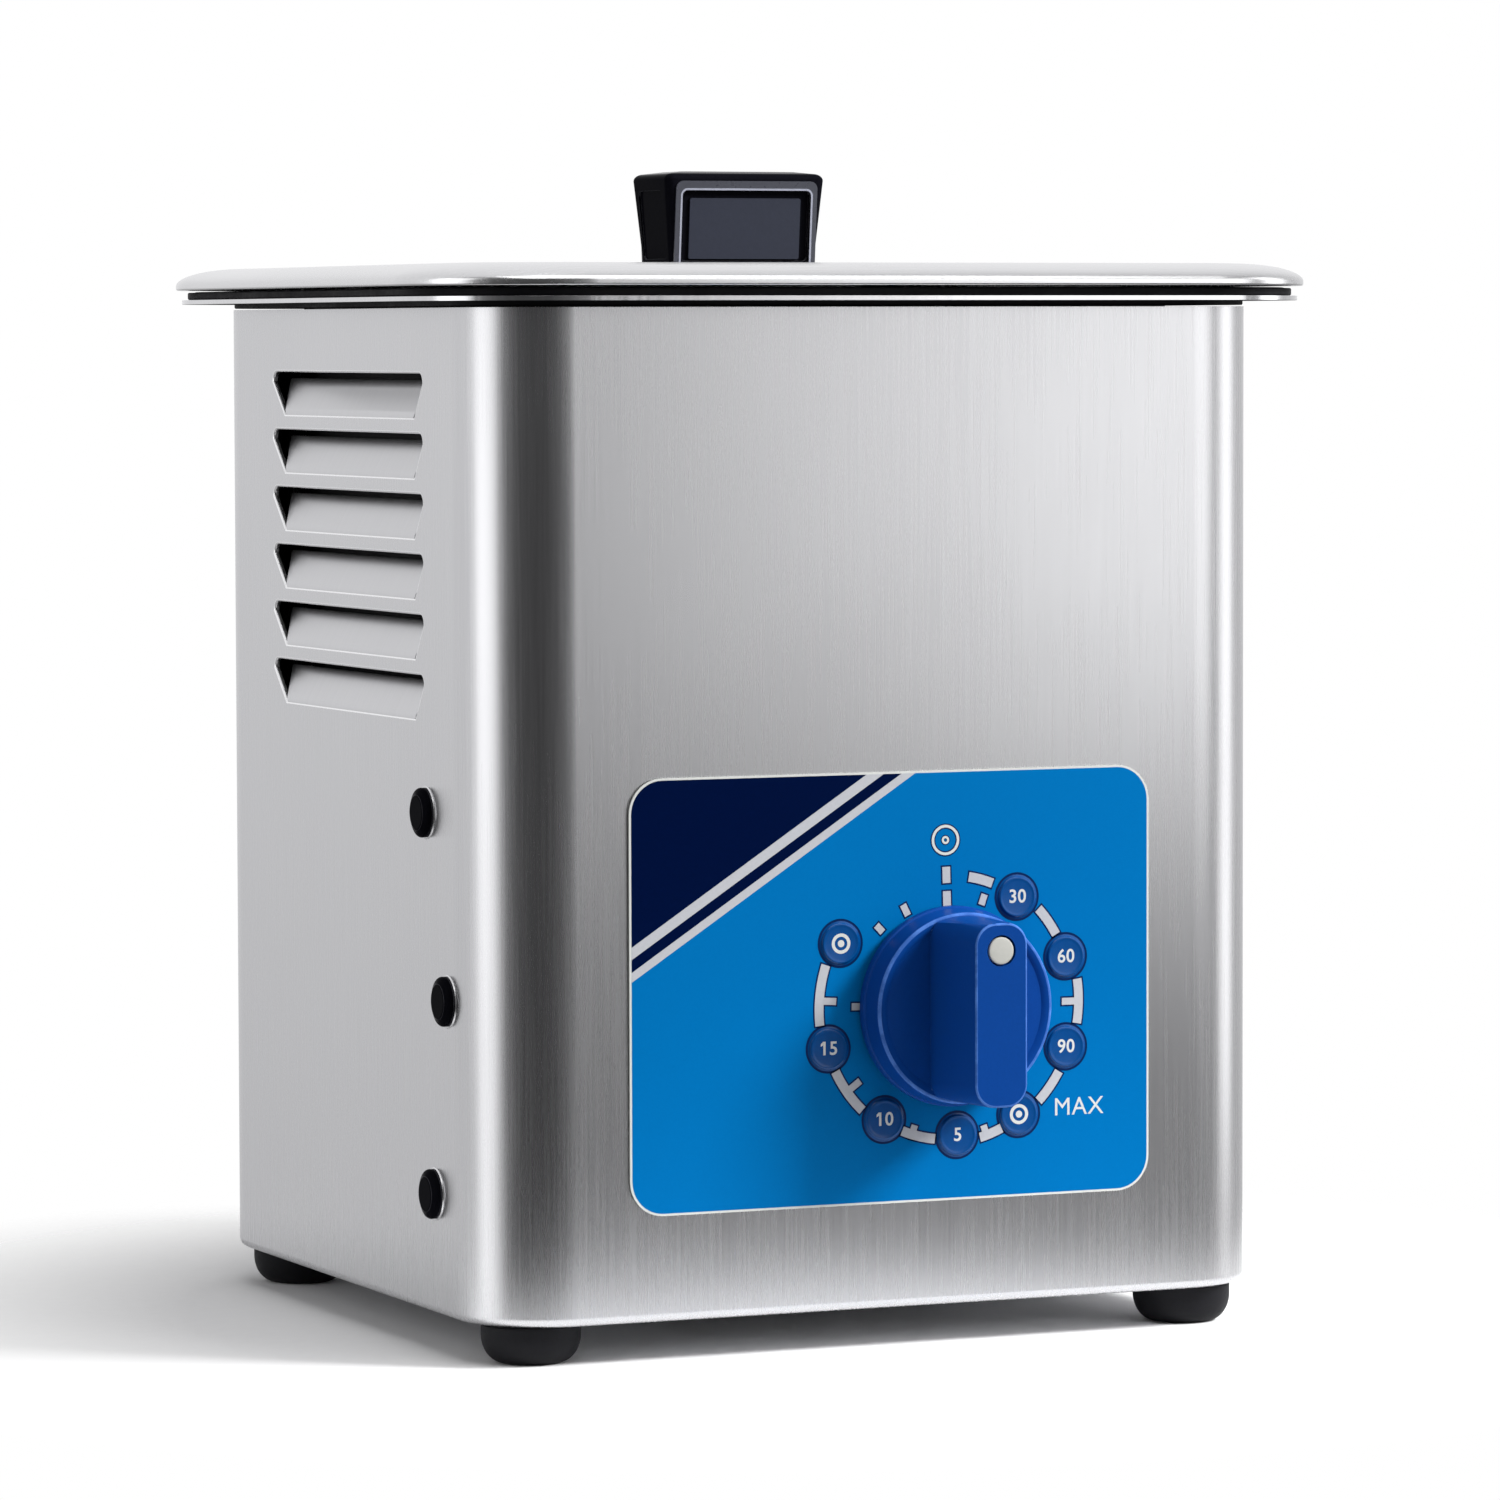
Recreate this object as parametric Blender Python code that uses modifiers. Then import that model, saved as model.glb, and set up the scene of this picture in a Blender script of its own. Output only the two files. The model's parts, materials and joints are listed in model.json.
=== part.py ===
"""Bench-top ultrasonic cleaner with a lift-off lid, a deep-drawn tank and a rotary timer.

Metres, +Z up. The control panel faces -Y. The origin is on the ground under the middle of the
object's box. Every part is placed in the cabinet's own frame, an empty called cabinet_frame:
x and y are measured from the middle of the cabinet, and z from its bottom edge.
"""

import math

import bmesh
import bpy
from mathutils import Matrix, Vector

MM = 0.001
GAP = 0.3 * MM
TURN = 2 * math.pi

# Driving dimensions
CABINET_WIDTH = 170 * MM
CABINET_DEPTH = 159 * MM
CABINET_HEIGHT = 197 * MM
CORNER_RADIUS = 18.5 * MM
SHEET = 1.0 * MM
FOOT_HEIGHT = 8 * MM
TANK_DEPTH = 100.7 * MM
TANK_MARGIN = 11 * MM
LID_OVERHANG = 12 * MM
KNOB_REACH = 24.5 * MM

# The box runs from the knob's nose to the back of the lid, and its middle is the origin.
CABINET_SHIFT = (KNOB_REACH - LID_OVERHANG) / 2

LEFT_FACE = -CABINET_WIDTH / 2
FRONT_FACE = -CABINET_DEPTH / 2
BACK_FACE = CABINET_DEPTH / 2

# Cabinet wrap
BEND_RADIUS = 1.8 * MM
BOTTOM_LIP = 22 * MM
LIP_CORNER = 4 * MM

# Tank rim and lid
FLANGE_OVERHANG = 10.75 * MM
FLANGE_TOP = CABINET_HEIGHT + 3.8 * MM
FLANGE_LIP_TOP = CABINET_HEIGHT + 2.1 * MM
FLANGE_LIP_WIDTH = 2.4 * MM
FLANGE_EDGE_RADIUS = 0.6 * MM
TANK_WALL = 0.9 * MM
TANK_CORNER = 24 * MM
TANK_MOUTH_RADIUS = 3 * MM
TANK_FLOOR_RADIUS = 12 * MM
TANK_DRAFT = 1.5 * MM
LID_BOTTOM = FLANGE_TOP + GAP
LID_HEIGHT = 4.5 * MM
LID_RIM = 0.9 * MM
LID_SHOULDER = 14 * MM
LID_TOP = LID_BOTTOM + LID_HEIGHT
LID_SHOULDER_STEPS = 5
LID_HEM_STEPS = 3

# Lid handle
HANDLE_BASE = (32.2 * MM, 16.0 * MM)
HANDLE_CREST = (35.3 * MM, 19.5 * MM)
HANDLE_HEIGHT = 19.1 * MM
HANDLE_BASE_CORNER = 2.0 * MM
HANDLE_RECESS = (27.0 * MM, 15.4 * MM)
HANDLE_RECESS_DEPTH = 0.9 * MM
HANDLE_RECESS_DROP = 1.4 * MM
# Width taken off, distance below the crest and corner radius, ring by ring
HANDLE_CROWN = (
    (0.0, 1.6 * MM, 2.4 * MM),
    (0.8 * MM, 0.5 * MM, 2.2 * MM),
    (2.6 * MM, 0.0, 1.6 * MM),
)
HANDLE_SCREW_SPACING = 18 * MM

# Feet
FOOT_INSET = 14 * MM
FOOT_RADIUS = 9.8 * MM
FOOT_SOLE_RADIUS = 5.6 * MM

# Louvres: trapezoid slots whose flaps are bent into the cabinet about their bottom edges
LOUVRE_COUNT = 6
LOUVRE_PITCH = 11.8 * MM
LOUVRE_FIRST_TOP = 184.2 * MM
LOUVRE_HEIGHT = 8.6 * MM
LOUVRE_TOP_SPAN = (-45.5 * MM, 40.0 * MM)
LOUVRE_BOTTOM_SPAN = (-41.0 * MM, 33.0 * MM)
LOUVRE_CORNER = 2.0 * MM
LOUVRE_BEND = math.radians(28)
LOUVRE_FLAP = 7.6 * MM

# Blanking plugs on the left side: distance from the middle towards the back, and height
PLUG_PLACES = {
    "side_plug_upper": (-46.4 * MM, 98.4 * MM),
    "side_plug_middle": (-57.5 * MM, 62.2 * MM),
    "side_plug_lower": (-50.2 * MM, 23.8 * MM),
}
PLUG_HEAD_RADIUS = 5.0 * MM
PLUG_HOLE_RADIUS = 4.0 * MM

# Control panel, and the timer's axis on it
PANEL_SPAN_X = (-55.4 * MM, 56.4 * MM)
PANEL_SPAN_Z = (20.8 * MM, 105.6 * MM)
PANEL_CORNER = 7 * MM
PANEL_THICKNESS = 0.4 * MM
PANEL_HOLE_RADIUS = 7.6 * MM
TIMER_X = 12.3 * MM
TIMER_Z = 59.5 * MM
DIAL_DOT_RING = 25.7 * MM
DIAL_DOT_RADIUS = 4.4 * MM
DIAL_DOT_HEIGHT = 0.45 * MM
DIAL_DOT_TAPER = 0.6 * MM
DIAL_DOT_ANGLES = (36, 72, 110, 146, 175, 213, 254, 299)

# Timer knob, measured outwards from the cabinet's front face
KNOB_RADIUS = 19.8 * MM
KNOB_DISC = 8.2 * MM
KNOB_SEAT = 1.3 * MM
GRIP_BASE_WIDTH = 15.0 * MM
GRIP_NOSE_WIDTH = 11.2 * MM
GRIP_NOSE_RADIUS = 18.0 * MM
KNOB_DOT_RADIUS = 2.7 * MM
KNOB_DOT_OFFSET = 12.6 * MM
KNOB_DOT_THICKNESS = 0.8 * MM
KNOB_HOLLOW_RADIUS = 8.5 * MM
KNOB_BORE_END = 18 * MM
KNOB_SIDES = 36

# Timer inside the cabinet
SHAFT_RADIUS = 3.0 * MM
SHAFT_CLEARANCE = 0.08 * MM
BUSHING_RADIUS = 4.5 * MM
BUSHING_REACH = 3.6 * MM
BUSHING_SIDES = 24
SHAFT_END = KNOB_BORE_END - 2 * GAP
TIMER_NUT_RADIUS = 7.0 * MM
TIMER_NUT_HEIGHT = 2.2 * MM
TIMER_BODY = (44 * MM, 50 * MM, 28 * MM)
TIMER_SHELL = 2 * MM
CAM_RADIUS = 13 * MM
CAM_THICKNESS = 4 * MM

# Transducer stack, from the tank's floor downwards
STACK_RADIUS = 17.5 * MM
HORN_TOP_RADIUS = 21 * MM
HORN_HEIGHT = 22 * MM
CERAMIC_THICKNESS = 6 * MM
CERAMIC_BORE = 6.5 * MM
ELECTRODE_THICKNESS = 0.5 * MM
BACK_MASS_HEIGHT = 16 * MM
STACK_BOLT_RADIUS = 4.0 * MM
STACK_BOLT_HEAD = (6.5 * MM, 6.0 * MM)

# Base plate and circuit board
BASE_PLATE_MARGIN = 2.6 * MM
BASE_PLATE_THICKNESS = 1.0 * MM
BASE_PLATE_TOP = SHEET + GAP + BASE_PLATE_THICKNESS
BOARD_SIZE = (92 * MM, 62 * MM, 1.6 * MM)
BOARD_CENTRE = (-6 * MM, 26 * MM)
STANDOFF_HEIGHT = 9 * MM
STANDOFF_RADIUS = 3 * MM
BOARD_BOTTOM = BASE_PLATE_TOP + STANDOFF_HEIGHT + 2 * GAP
BOARD_TOP = BOARD_BOTTOM + BOARD_SIZE[2]

# Mains inlet on the back
INLET_X = -52 * MM
INLET_Z = 40 * MM
INLET_FLANGE = (50 * MM, 34 * MM, 3 * MM)
INLET_BODY = (28.6 * MM, 30.6 * MM, 18 * MM)
INLET_SCREW_SPACING = 40 * MM
SOCKET_SIZE = (24.4 * MM, 16.4 * MM)
SOCKET_DEPTH = 16.5 * MM
SOCKET_LIFT = 4.6 * MM
SOCKET_CHAMFER = 4 * MM
PIN_SIZE = (2 * MM, 4 * MM)
PIN_SETBACK = 5.2 * MM
DRAWER_SIZE = (24.0 * MM, 6.6 * MM, 15 * MM)
DRAWER_DROP = -9.4 * MM
DRAWER_LIP = (26 * MM, 8 * MM, 1.5 * MM)
FUSE_SIZE = (2.5 * MM, 20 * MM)

# Small fasteners
SCREW_RADIUS = 1.5 * MM
SCREW_HOLE = 1.8 * MM
SCREW_HEAD = (2.9 * MM, 1.9 * MM)

# Smoothness of round shapes
CORNER_STEPS = 8
TANK_CORNER_STEPS = 6
ROUND_SIDES = 32
FOOT_SIDES = 20
PLUG_SIDES = 16
SMALL_SIDES = 12
SCREW_SIDES = 10
SHARP_ANGLE = math.radians(35)

# Rotations that turn a part made facing +Z towards a side of the cabinet
FACING_FRONT = (math.radians(90), 0, 0)
FACING_RIGHT = (math.radians(90), 0, math.radians(90))
FACING_LEFT = (math.radians(90), 0, math.radians(-90))
FACING_BACK = (math.radians(90), 0, math.radians(180))


def clear_scene():
    """Removes everything that the scene starts with."""
    for obj in list(bpy.data.objects):
        bpy.data.objects.remove(obj, do_unlink=True)


def make_collection(name):
    collection = bpy.data.collections.new(name)
    bpy.context.scene.collection.children.link(collection)
    return collection


clear_scene()
PARTS = make_collection("ultrasonic_cleaner")
CUTTERS = make_collection("cutters")


# Materials


def make_material(name, colour, metallic, roughness):
    material = bpy.data.materials.new(name)
    material.use_nodes = True
    shader = material.node_tree.nodes["Principled BSDF"]
    shader.inputs["Base Color"].default_value = (*colour, 1.0)
    shader.inputs["Metallic"].default_value = metallic
    shader.inputs["Roughness"].default_value = roughness
    return material


MATERIAL_VALUES = {
    "brushed_steel": ((0.60, 0.60, 0.61), 1.0, 0.32),
    "polished_steel": ((0.74, 0.74, 0.75), 1.0, 0.12),
    "zinc_plate": ((0.55, 0.56, 0.58), 1.0, 0.40),
    "black_rubber": ((0.02, 0.02, 0.022), 0.0, 0.75),
    "black_plastic": ((0.015, 0.015, 0.02), 0.0, 0.18),
    "blue_plastic": ((0.012, 0.05, 0.24), 0.0, 0.32),
    "blue_overlay": ((0.0, 0.19, 0.60), 0.0, 0.35),
    "cream_plastic": ((0.86, 0.85, 0.80), 0.0, 0.40),
    "aluminium": ((0.70, 0.71, 0.73), 1.0, 0.35),
    "brass": ((0.72, 0.52, 0.22), 1.0, 0.28),
    "ceramic": ((0.30, 0.27, 0.24), 0.0, 0.60),
    "board_green": ((0.02, 0.16, 0.06), 0.0, 0.45),
    "lamination_steel": ((0.22, 0.22, 0.24), 1.0, 0.55),
    "winding_tape": ((0.70, 0.52, 0.08), 0.0, 0.50),
    "capacitor_sleeve": ((0.03, 0.05, 0.14), 0.0, 0.30),
    "fuse_glass": ((0.80, 0.84, 0.84), 0.0, 0.10),
    "red_wire": ((0.45, 0.02, 0.02), 0.0, 0.45),
    "black_wire": ((0.02, 0.02, 0.02), 0.0, 0.45),
}
MATERIALS = {name: make_material(name, *values) for name, values in MATERIAL_VALUES.items()}


# Placing objects


def make_empty(name, location, parent=None):
    empty = bpy.data.objects.new(name, None)
    empty.location = location
    empty.parent = parent
    PARTS.objects.link(empty)
    return empty


CABINET = make_empty("cabinet_frame", (0, CABINET_SHIFT, FOOT_HEIGHT))
TIMER_AXIS = make_empty("timer_axis", (TIMER_X, FRONT_FACE, TIMER_Z), CABINET)
TIMER_AXIS.rotation_euler = FACING_FRONT
INLET_FRAME = make_empty("inlet_frame", (INLET_X, BACK_FACE, INLET_Z), CABINET)
INLET_FRAME.rotation_euler = FACING_BACK


def place(name, mesh, material, location=(0, 0, 0), rotation=(0, 0, 0), parent=CABINET):
    """Adds a part with its material, smooth where its faces meet at a shallow angle."""
    obj = bpy.data.objects.new(name, mesh)
    obj.location = location
    obj.rotation_euler = rotation
    obj.parent = parent
    if not mesh.materials:
        mesh.materials.append(MATERIALS[material])
    PARTS.objects.link(obj)
    if mesh.polygons:
        mesh.shade_smooth()
        mesh.set_sharp_from_angle(angle=SHARP_ANGLE)
    return obj


def hide_tool(obj):
    """Moves a shape used only by Booleans to the cutters."""
    for collection in obj.users_collection:
        collection.objects.unlink(obj)
    CUTTERS.objects.link(obj)
    obj.hide_render = True
    obj.display_type = "WIRE"
    return obj


def place_tool(name, mesh, location=(0, 0, 0), rotation=(0, 0, 0), parent=CABINET):
    return hide_tool(place(name, mesh, "zinc_plate", location, rotation, parent))


def combine(target, tool, operation):
    """Adds a Boolean: DIFFERENCE cuts the tool away, UNION joins it, INTERSECT keeps the overlap."""
    boolean = target.modifiers.new(f"{operation.lower()}_{tool.name}", "BOOLEAN")
    boolean.operation = operation
    boolean.solver = "EXACT"
    boolean.object = tool
    return boolean


# Shapes


def finish_mesh(name, bm):
    mesh = bpy.data.meshes.new(name)
    bm.to_mesh(mesh)
    bm.free()
    return mesh


def add_box(bm, size, centre=(0, 0, 0)):
    matrix = Matrix.Translation(centre) @ Matrix.Diagonal((*size, 1))
    bmesh.ops.create_cube(bm, size=1, matrix=matrix)


def add_cylinder(bm, radius, low, high, centre=(0, 0), sides=ROUND_SIDES, top_radius=None):
    """A cylinder or a cone about the Z direction, from height low to height high."""
    bmesh.ops.create_cone(
        bm,
        cap_ends=True,
        segments=sides,
        radius1=radius,
        radius2=radius if top_radius is None else top_radius,
        depth=high - low,
        matrix=Matrix.Translation((*centre, (low + high) / 2)),
    )


def box_mesh(name, size, centre=(0, 0, 0)):
    bm = bmesh.new()
    add_box(bm, size, centre)
    return finish_mesh(name, bm)


def cylinder_mesh(name, radius, low, high, centre=(0, 0), sides=ROUND_SIDES, top_radius=None):
    bm = bmesh.new()
    add_cylinder(bm, radius, low, high, centre, sides, top_radius)
    return finish_mesh(name, bm)


def turned_mesh(name, profile, closed=True):
    """The outline that a Screw modifier turns: (radius, height) points down the outer side."""
    count = len(profile)
    edges = [(index, index + 1) for index in range(count - 1)]
    if closed:
        edges.append((count - 1, 0))
    mesh = bpy.data.meshes.new(name)
    mesh.from_pydata([(radius, 0, height) for radius, height in profile], edges, [])
    return mesh


def turn(obj, sides=ROUND_SIDES):
    """Spins the object's outline round its Z axis."""
    screw = obj.modifiers.new("turn", "SCREW")
    screw.axis = "Z"
    screw.angle = TURN
    screw.steps = sides
    screw.render_steps = sides
    screw.use_merge_vertices = True
    screw.merge_threshold = 0.00001
    screw.use_smooth_shade = True
    return obj


def place_turned(name, profile, material, location, rotation=(0, 0, 0), sides=ROUND_SIDES,
                 closed=True, parent=CABINET):
    mesh = turned_mesh(name, profile, closed)
    return turn(place(name, mesh, material, location, rotation, parent), sides)


def rounded_rectangle(width, depth, radius, steps=CORNER_STEPS, centre=(0, 0)):
    """Points round a rounded rectangle, anticlockwise."""
    points = []
    for side_x, side_y, start in ((1, 1, 0), (-1, 1, 90), (-1, -1, 180), (1, -1, 270)):
        corner_x = centre[0] + side_x * (width / 2 - radius)
        corner_y = centre[1] + side_y * (depth / 2 - radius)
        for step in range(steps + 1):
            angle = math.radians(start + 90 * step / steps)
            points.append((corner_x + radius * math.cos(angle), corner_y + radius * math.sin(angle)))
    return points


def circle_points(radius, centre=(0, 0), sides=SMALL_SIDES):
    angles = [TURN * index / sides for index in range(sides)]
    return [(centre[0] + radius * math.cos(a), centre[1] + radius * math.sin(a)) for a in angles]


def plate_mesh(name, outlines, thickness):
    """A flat plate about z = 0: a filled 2D curve, extruded and welded. Inner outlines are holes."""
    curve = bpy.data.curves.new(name, "CURVE")
    curve.dimensions = "2D"
    curve.fill_mode = "BOTH"
    curve.extrude = thickness / 2
    curve.render_resolution_u = 0
    for outline in outlines:
        spline = curve.splines.new("POLY")
        spline.points.add(len(outline) - 1)
        for point, (x, y) in zip(spline.points, outline):
            point.co = (x, y, 0, 1)
        spline.use_cyclic_u = True
    return mesh_of_curve(name, curve)


def tube_mesh(name, points, radius):
    """A round wire along a smooth route through the points."""
    curve = bpy.data.curves.new(name, "CURVE")
    curve.dimensions = "3D"
    curve.bevel_depth = radius
    curve.bevel_resolution = 2
    curve.use_fill_caps = True
    curve.render_resolution_u = 0
    route = smooth_route([Vector(point) for point in points])
    spline = curve.splines.new("POLY")
    spline.points.add(len(route) - 1)
    for point, place_on_route in zip(spline.points, route):
        point.co = (*place_on_route, 1)
    return mesh_of_curve(name, curve)


def smooth_route(points, pieces=4):
    """Catmull-Rom points through a list of points."""
    padded = [points[0] * 2 - points[1], *points, points[-1] * 2 - points[-2]]
    route = []
    for before, start, end, after in zip(padded, padded[1:], padded[2:], padded[3:]):
        for piece in range(pieces):
            t = piece / pieces
            pull = (end - before) * t + (before * 2 - start * 5 + end * 4 - after) * t * t
            cubic = (start * 3 - before - end * 3 + after) * t * t * t
            route.append(start + (pull + cubic) / 2)
    route.append(points[-1])
    return route


def mesh_of_curve(name, curve):
    """The curve's welded mesh; the curve itself is removed."""
    carrier = bpy.data.objects.new(name + "_curve", curve)
    CUTTERS.objects.link(carrier)
    evaluated = carrier.evaluated_get(bpy.context.evaluated_depsgraph_get())
    mesh = bpy.data.meshes.new_from_object(evaluated)
    mesh.name = name
    bpy.data.objects.remove(carrier, do_unlink=True)
    bm = bmesh.new()
    bm.from_mesh(mesh)
    bmesh.ops.remove_doubles(bm, verts=bm.verts, dist=0.000001)
    bmesh.ops.dissolve_degenerate(bm, edges=bm.edges, dist=0.000001)
    bmesh.ops.recalc_face_normals(bm, faces=bm.faces)
    bm.to_mesh(mesh)
    bm.free()
    mesh.materials.clear()
    return mesh


def loft_mesh(name, rings, close_first=False, close_last=False):
    """Joins closed rings of equal length, each a list of (x, y, z) points."""
    bm = bmesh.new()
    rows = [[bm.verts.new(point) for point in ring] for ring in rings]
    count = len(rings[0])
    for row, following in zip(rows, rows[1:]):
        for index in range(count):
            after = (index + 1) % count
            bm.faces.new((row[index], row[after], following[after], following[index]))
    if close_first:
        bm.faces.new(list(reversed(rows[0])))
    if close_last:
        bm.faces.new(rows[-1])
    return finish_mesh(name, bm)


def level_ring(width, depth, radius, height, steps=CORNER_STEPS):
    return [(x, y, height) for x, y in rounded_rectangle(width, depth, radius, steps)]


def add_wall(obj, thickness):
    """Gives an open surface its sheet thickness, behind the side that its faces look out of."""
    solidify = obj.modifiers.new("sheet", "SOLIDIFY")
    solidify.thickness = thickness
    solidify.offset = -1
    solidify.use_even_offset = True
    solidify.use_rim = True
    return obj


def round_edges(obj, width, segments=2, angle=40):
    bevel = obj.modifiers.new("rounded_edges", "BEVEL")
    bevel.width = width
    bevel.segments = segments
    bevel.limit_method = "ANGLE"
    bevel.angle_limit = math.radians(angle)
    return obj


# Cabinet


def foot_places():
    """The four feet, by name, in the cabinet's frame."""
    reach_x = CABINET_WIDTH / 2 - FOOT_INSET
    reach_y = CABINET_DEPTH / 2 - FOOT_INSET
    return {
        "front_left": (-reach_x, -reach_y),
        "front_right": (reach_x, -reach_y),
        "back_left": (-reach_x, reach_y),
        "back_right": (reach_x, reach_y),
    }


def make_cabinet():
    """The wrapped sheet body: an in-turned lip at the bottom, a bend, then the wall."""
    rings = [
        level_ring(CABINET_WIDTH - 2 * BOTTOM_LIP, CABINET_DEPTH - 2 * BOTTOM_LIP, LIP_CORNER, 0)
    ]
    bend_steps = 3
    for step in range(bend_steps + 1):
        angle = math.pi / 2 * step / bend_steps
        inset = BEND_RADIUS * (1 - math.sin(angle))
        height = BEND_RADIUS * (1 - math.cos(angle))
        rings.append(
            level_ring(
                CABINET_WIDTH - 2 * inset, CABINET_DEPTH - 2 * inset, CORNER_RADIUS - inset, height
            )
        )
    rings.append(level_ring(CABINET_WIDTH, CABINET_DEPTH, CORNER_RADIUS, CABINET_HEIGHT))
    cabinet = add_wall(place("cabinet", loft_mesh("cabinet", rings), "brushed_steel"), SHEET)
    combine(cabinet, louvre_opening_tool(), "DIFFERENCE")
    combine(cabinet, louvre_flap_tool(), "UNION")
    combine(cabinet, cabinet_hole_tool(), "DIFFERENCE")


def louvre_outline(top, height, shrink=0.0, drop=0.0):
    """A slot's outline as (y, z): sloping ends, and round corners along its top edge."""
    front_top, back_top = LOUVRE_TOP_SPAN
    front_bottom, back_bottom = LOUVRE_BOTTOM_SPAN
    points = [(front_bottom + shrink, top - height - drop), (back_bottom - shrink, top - height - drop)]
    corner_steps = 3
    for step in range(corner_steps + 1):
        angle = math.pi / 2 * step / corner_steps
        across = back_top - shrink - LOUVRE_CORNER * (1 - math.cos(angle))
        points.append((across, top - LOUVRE_CORNER * (1 - math.sin(angle))))
    for step in range(corner_steps + 1):
        angle = math.pi / 2 * (1 - step / corner_steps)
        across = front_top + shrink + LOUVRE_CORNER * (1 - math.cos(angle))
        points.append((across, top - LOUVRE_CORNER * (1 - math.sin(angle))))
    return points


def louvre_tops():
    return [LOUVRE_FIRST_TOP - LOUVRE_PITCH * index for index in range(LOUVRE_COUNT)]


def louvre_opening_tool():
    """Six bars that run through both side walls."""
    outlines = [louvre_outline(top, LOUVRE_HEIGHT) for top in louvre_tops()]
    mesh = plate_mesh("louvre_openings", outlines, CABINET_WIDTH + 20 * MM)
    return place_tool("louvre_openings", mesh, rotation=FACING_RIGHT)


def louvre_flap_tool():
    """Every flap, hinged in the thickness of the wall below its slot and bent inwards."""
    flap = plate_mesh(
        "louvre_flap", [louvre_outline(LOUVRE_FLAP, LOUVRE_FLAP, 0.3 * MM, 0.25 * MM)], 0.8 * MM
    )
    upright = Matrix.Rotation(math.radians(90), 4, "Z") @ Matrix.Rotation(math.radians(90), 4, "X")
    bm = bmesh.new()
    for side in (-1, 1):
        lean = Matrix.Rotation(-side * LOUVRE_BEND, 4, "Y")
        for top in louvre_tops():
            hinge = Vector((side * (CABINET_WIDTH - SHEET) / 2, 0, top - LOUVRE_HEIGHT))
            before = len(bm.verts)
            bm.from_mesh(flap)
            bm.verts.ensure_lookup_table()
            bmesh.ops.transform(
                bm, matrix=Matrix.Translation(hinge) @ lean @ upright, verts=bm.verts[before:]
            )
    bpy.data.meshes.remove(flap)
    return place_tool("louvre_flaps", finish_mesh("louvre_flaps", bm))


def cabinet_hole_tool():
    """Holes for the timer's bushing, the plugs, the inlet and its screws, and the foot screws."""
    bm = bmesh.new()
    reach = 5 * MM
    add_turned_hole(bm, BUSHING_RADIUS + GAP, (TIMER_X, FRONT_FACE, TIMER_Z), "Y", reach)
    for across, height in PLUG_PLACES.values():
        add_turned_hole(bm, PLUG_HOLE_RADIUS, (LEFT_FACE, across, height), "X", reach)
    body_hole = (INLET_BODY[0] + 2 * GAP, 2 * reach, INLET_BODY[1] + 2 * GAP)
    add_box(bm, body_hole, (INLET_X, BACK_FACE, INLET_Z))
    for side in (-1, 1):
        screw_x = INLET_X + side * INLET_SCREW_SPACING / 2
        add_turned_hole(bm, SCREW_HOLE, (screw_x, BACK_FACE, INLET_Z), "Y", reach, SMALL_SIDES)
    for x, y in foot_places().values():
        add_turned_hole(bm, SCREW_HOLE, (x, y, 0), "Z", reach, SMALL_SIDES)
    return place_tool("cabinet_holes", finish_mesh("cabinet_holes", bm))


def add_turned_hole(bm, radius, centre, axis, reach, sides=ROUND_SIDES):
    """A cylinder along a named axis, reaching both ways from its centre."""
    turn_to = {
        "X": Matrix.Rotation(math.radians(90), 4, "Y"),
        "Y": Matrix.Rotation(math.radians(90), 4, "X"),
        "Z": Matrix.Identity(4),
    }
    bmesh.ops.create_cone(
        bm,
        cap_ends=True,
        segments=sides,
        radius1=radius,
        radius2=radius,
        depth=2 * reach,
        matrix=Matrix.Translation(centre) @ turn_to[axis],
    )


def make_base_plate():
    """The loose floor that the foot screws clamp onto the cabinet's lip, with a row of vents."""
    width = CABINET_WIDTH - 2 * BASE_PLATE_MARGIN
    depth = CABINET_DEPTH - 2 * BASE_PLATE_MARGIN
    outlines = [rounded_rectangle(width, depth, CORNER_RADIUS - BASE_PLATE_MARGIN, 5)]
    outlines += [circle_points(SCREW_HOLE, place_xy) for place_xy in foot_places().values()]
    vent_size = (5 * MM, 30 * MM)
    for index in range(-2, 3):
        centre = (index * 14 * MM, -34 * MM)
        outlines.append(rounded_rectangle(*vent_size, 2.4 * MM, 2, centre))
    mesh = plate_mesh("base_plate", outlines, BASE_PLATE_THICKNESS)
    place("base_plate", mesh, "zinc_plate", (0, 0, BASE_PLATE_TOP - BASE_PLATE_THICKNESS / 2))


def make_feet():
    """Rubber feet with their screws and nuts: a domed side, a flat sole and a sunk screw."""
    top = -GAP
    shoulder = -4 * MM
    well = SCREW_HEAD[0] + 0.5 * MM
    rise = FOOT_HEIGHT + top
    profile = [(FOOT_RADIUS, top), (FOOT_RADIUS, top - 0.28 * rise)]
    dome_steps = 3
    for step in range(1, dome_steps + 1):
        angle = math.pi / 2 * step / dome_steps
        radius = FOOT_SOLE_RADIUS + (FOOT_RADIUS - FOOT_SOLE_RADIUS) * math.cos(angle)
        profile.append((radius, top - 0.28 * rise - 0.72 * rise * math.sin(angle)))
    profile += [(well, -FOOT_HEIGHT), (well, shoulder), (SCREW_HOLE, shoulder), (SCREW_HOLE, top)]
    head_top = shoulder - GAP
    nut_low = BASE_PLATE_TOP + GAP
    nut_high = nut_low + 2.6 * MM
    screw = screw_profile(head_top, nut_high + 1.5 * MM)
    for corner, (x, y) in foot_places().items():
        place_turned(f"foot_{corner}", profile, "black_rubber", (x, y, 0), sides=FOOT_SIDES)
        place_turned(
            f"foot_screw_{corner}", screw, "zinc_plate", (x, y, 0), sides=SCREW_SIDES, closed=False
        )
        nut = plate_mesh(
            f"foot_nut_{corner}", [circle_points(3.4 * MM, sides=6), circle_points(SCREW_HOLE)],
            nut_high - nut_low,
        )
        place(f"foot_nut_{corner}", nut, "zinc_plate", (x, y, (nut_low + nut_high) / 2))


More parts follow.
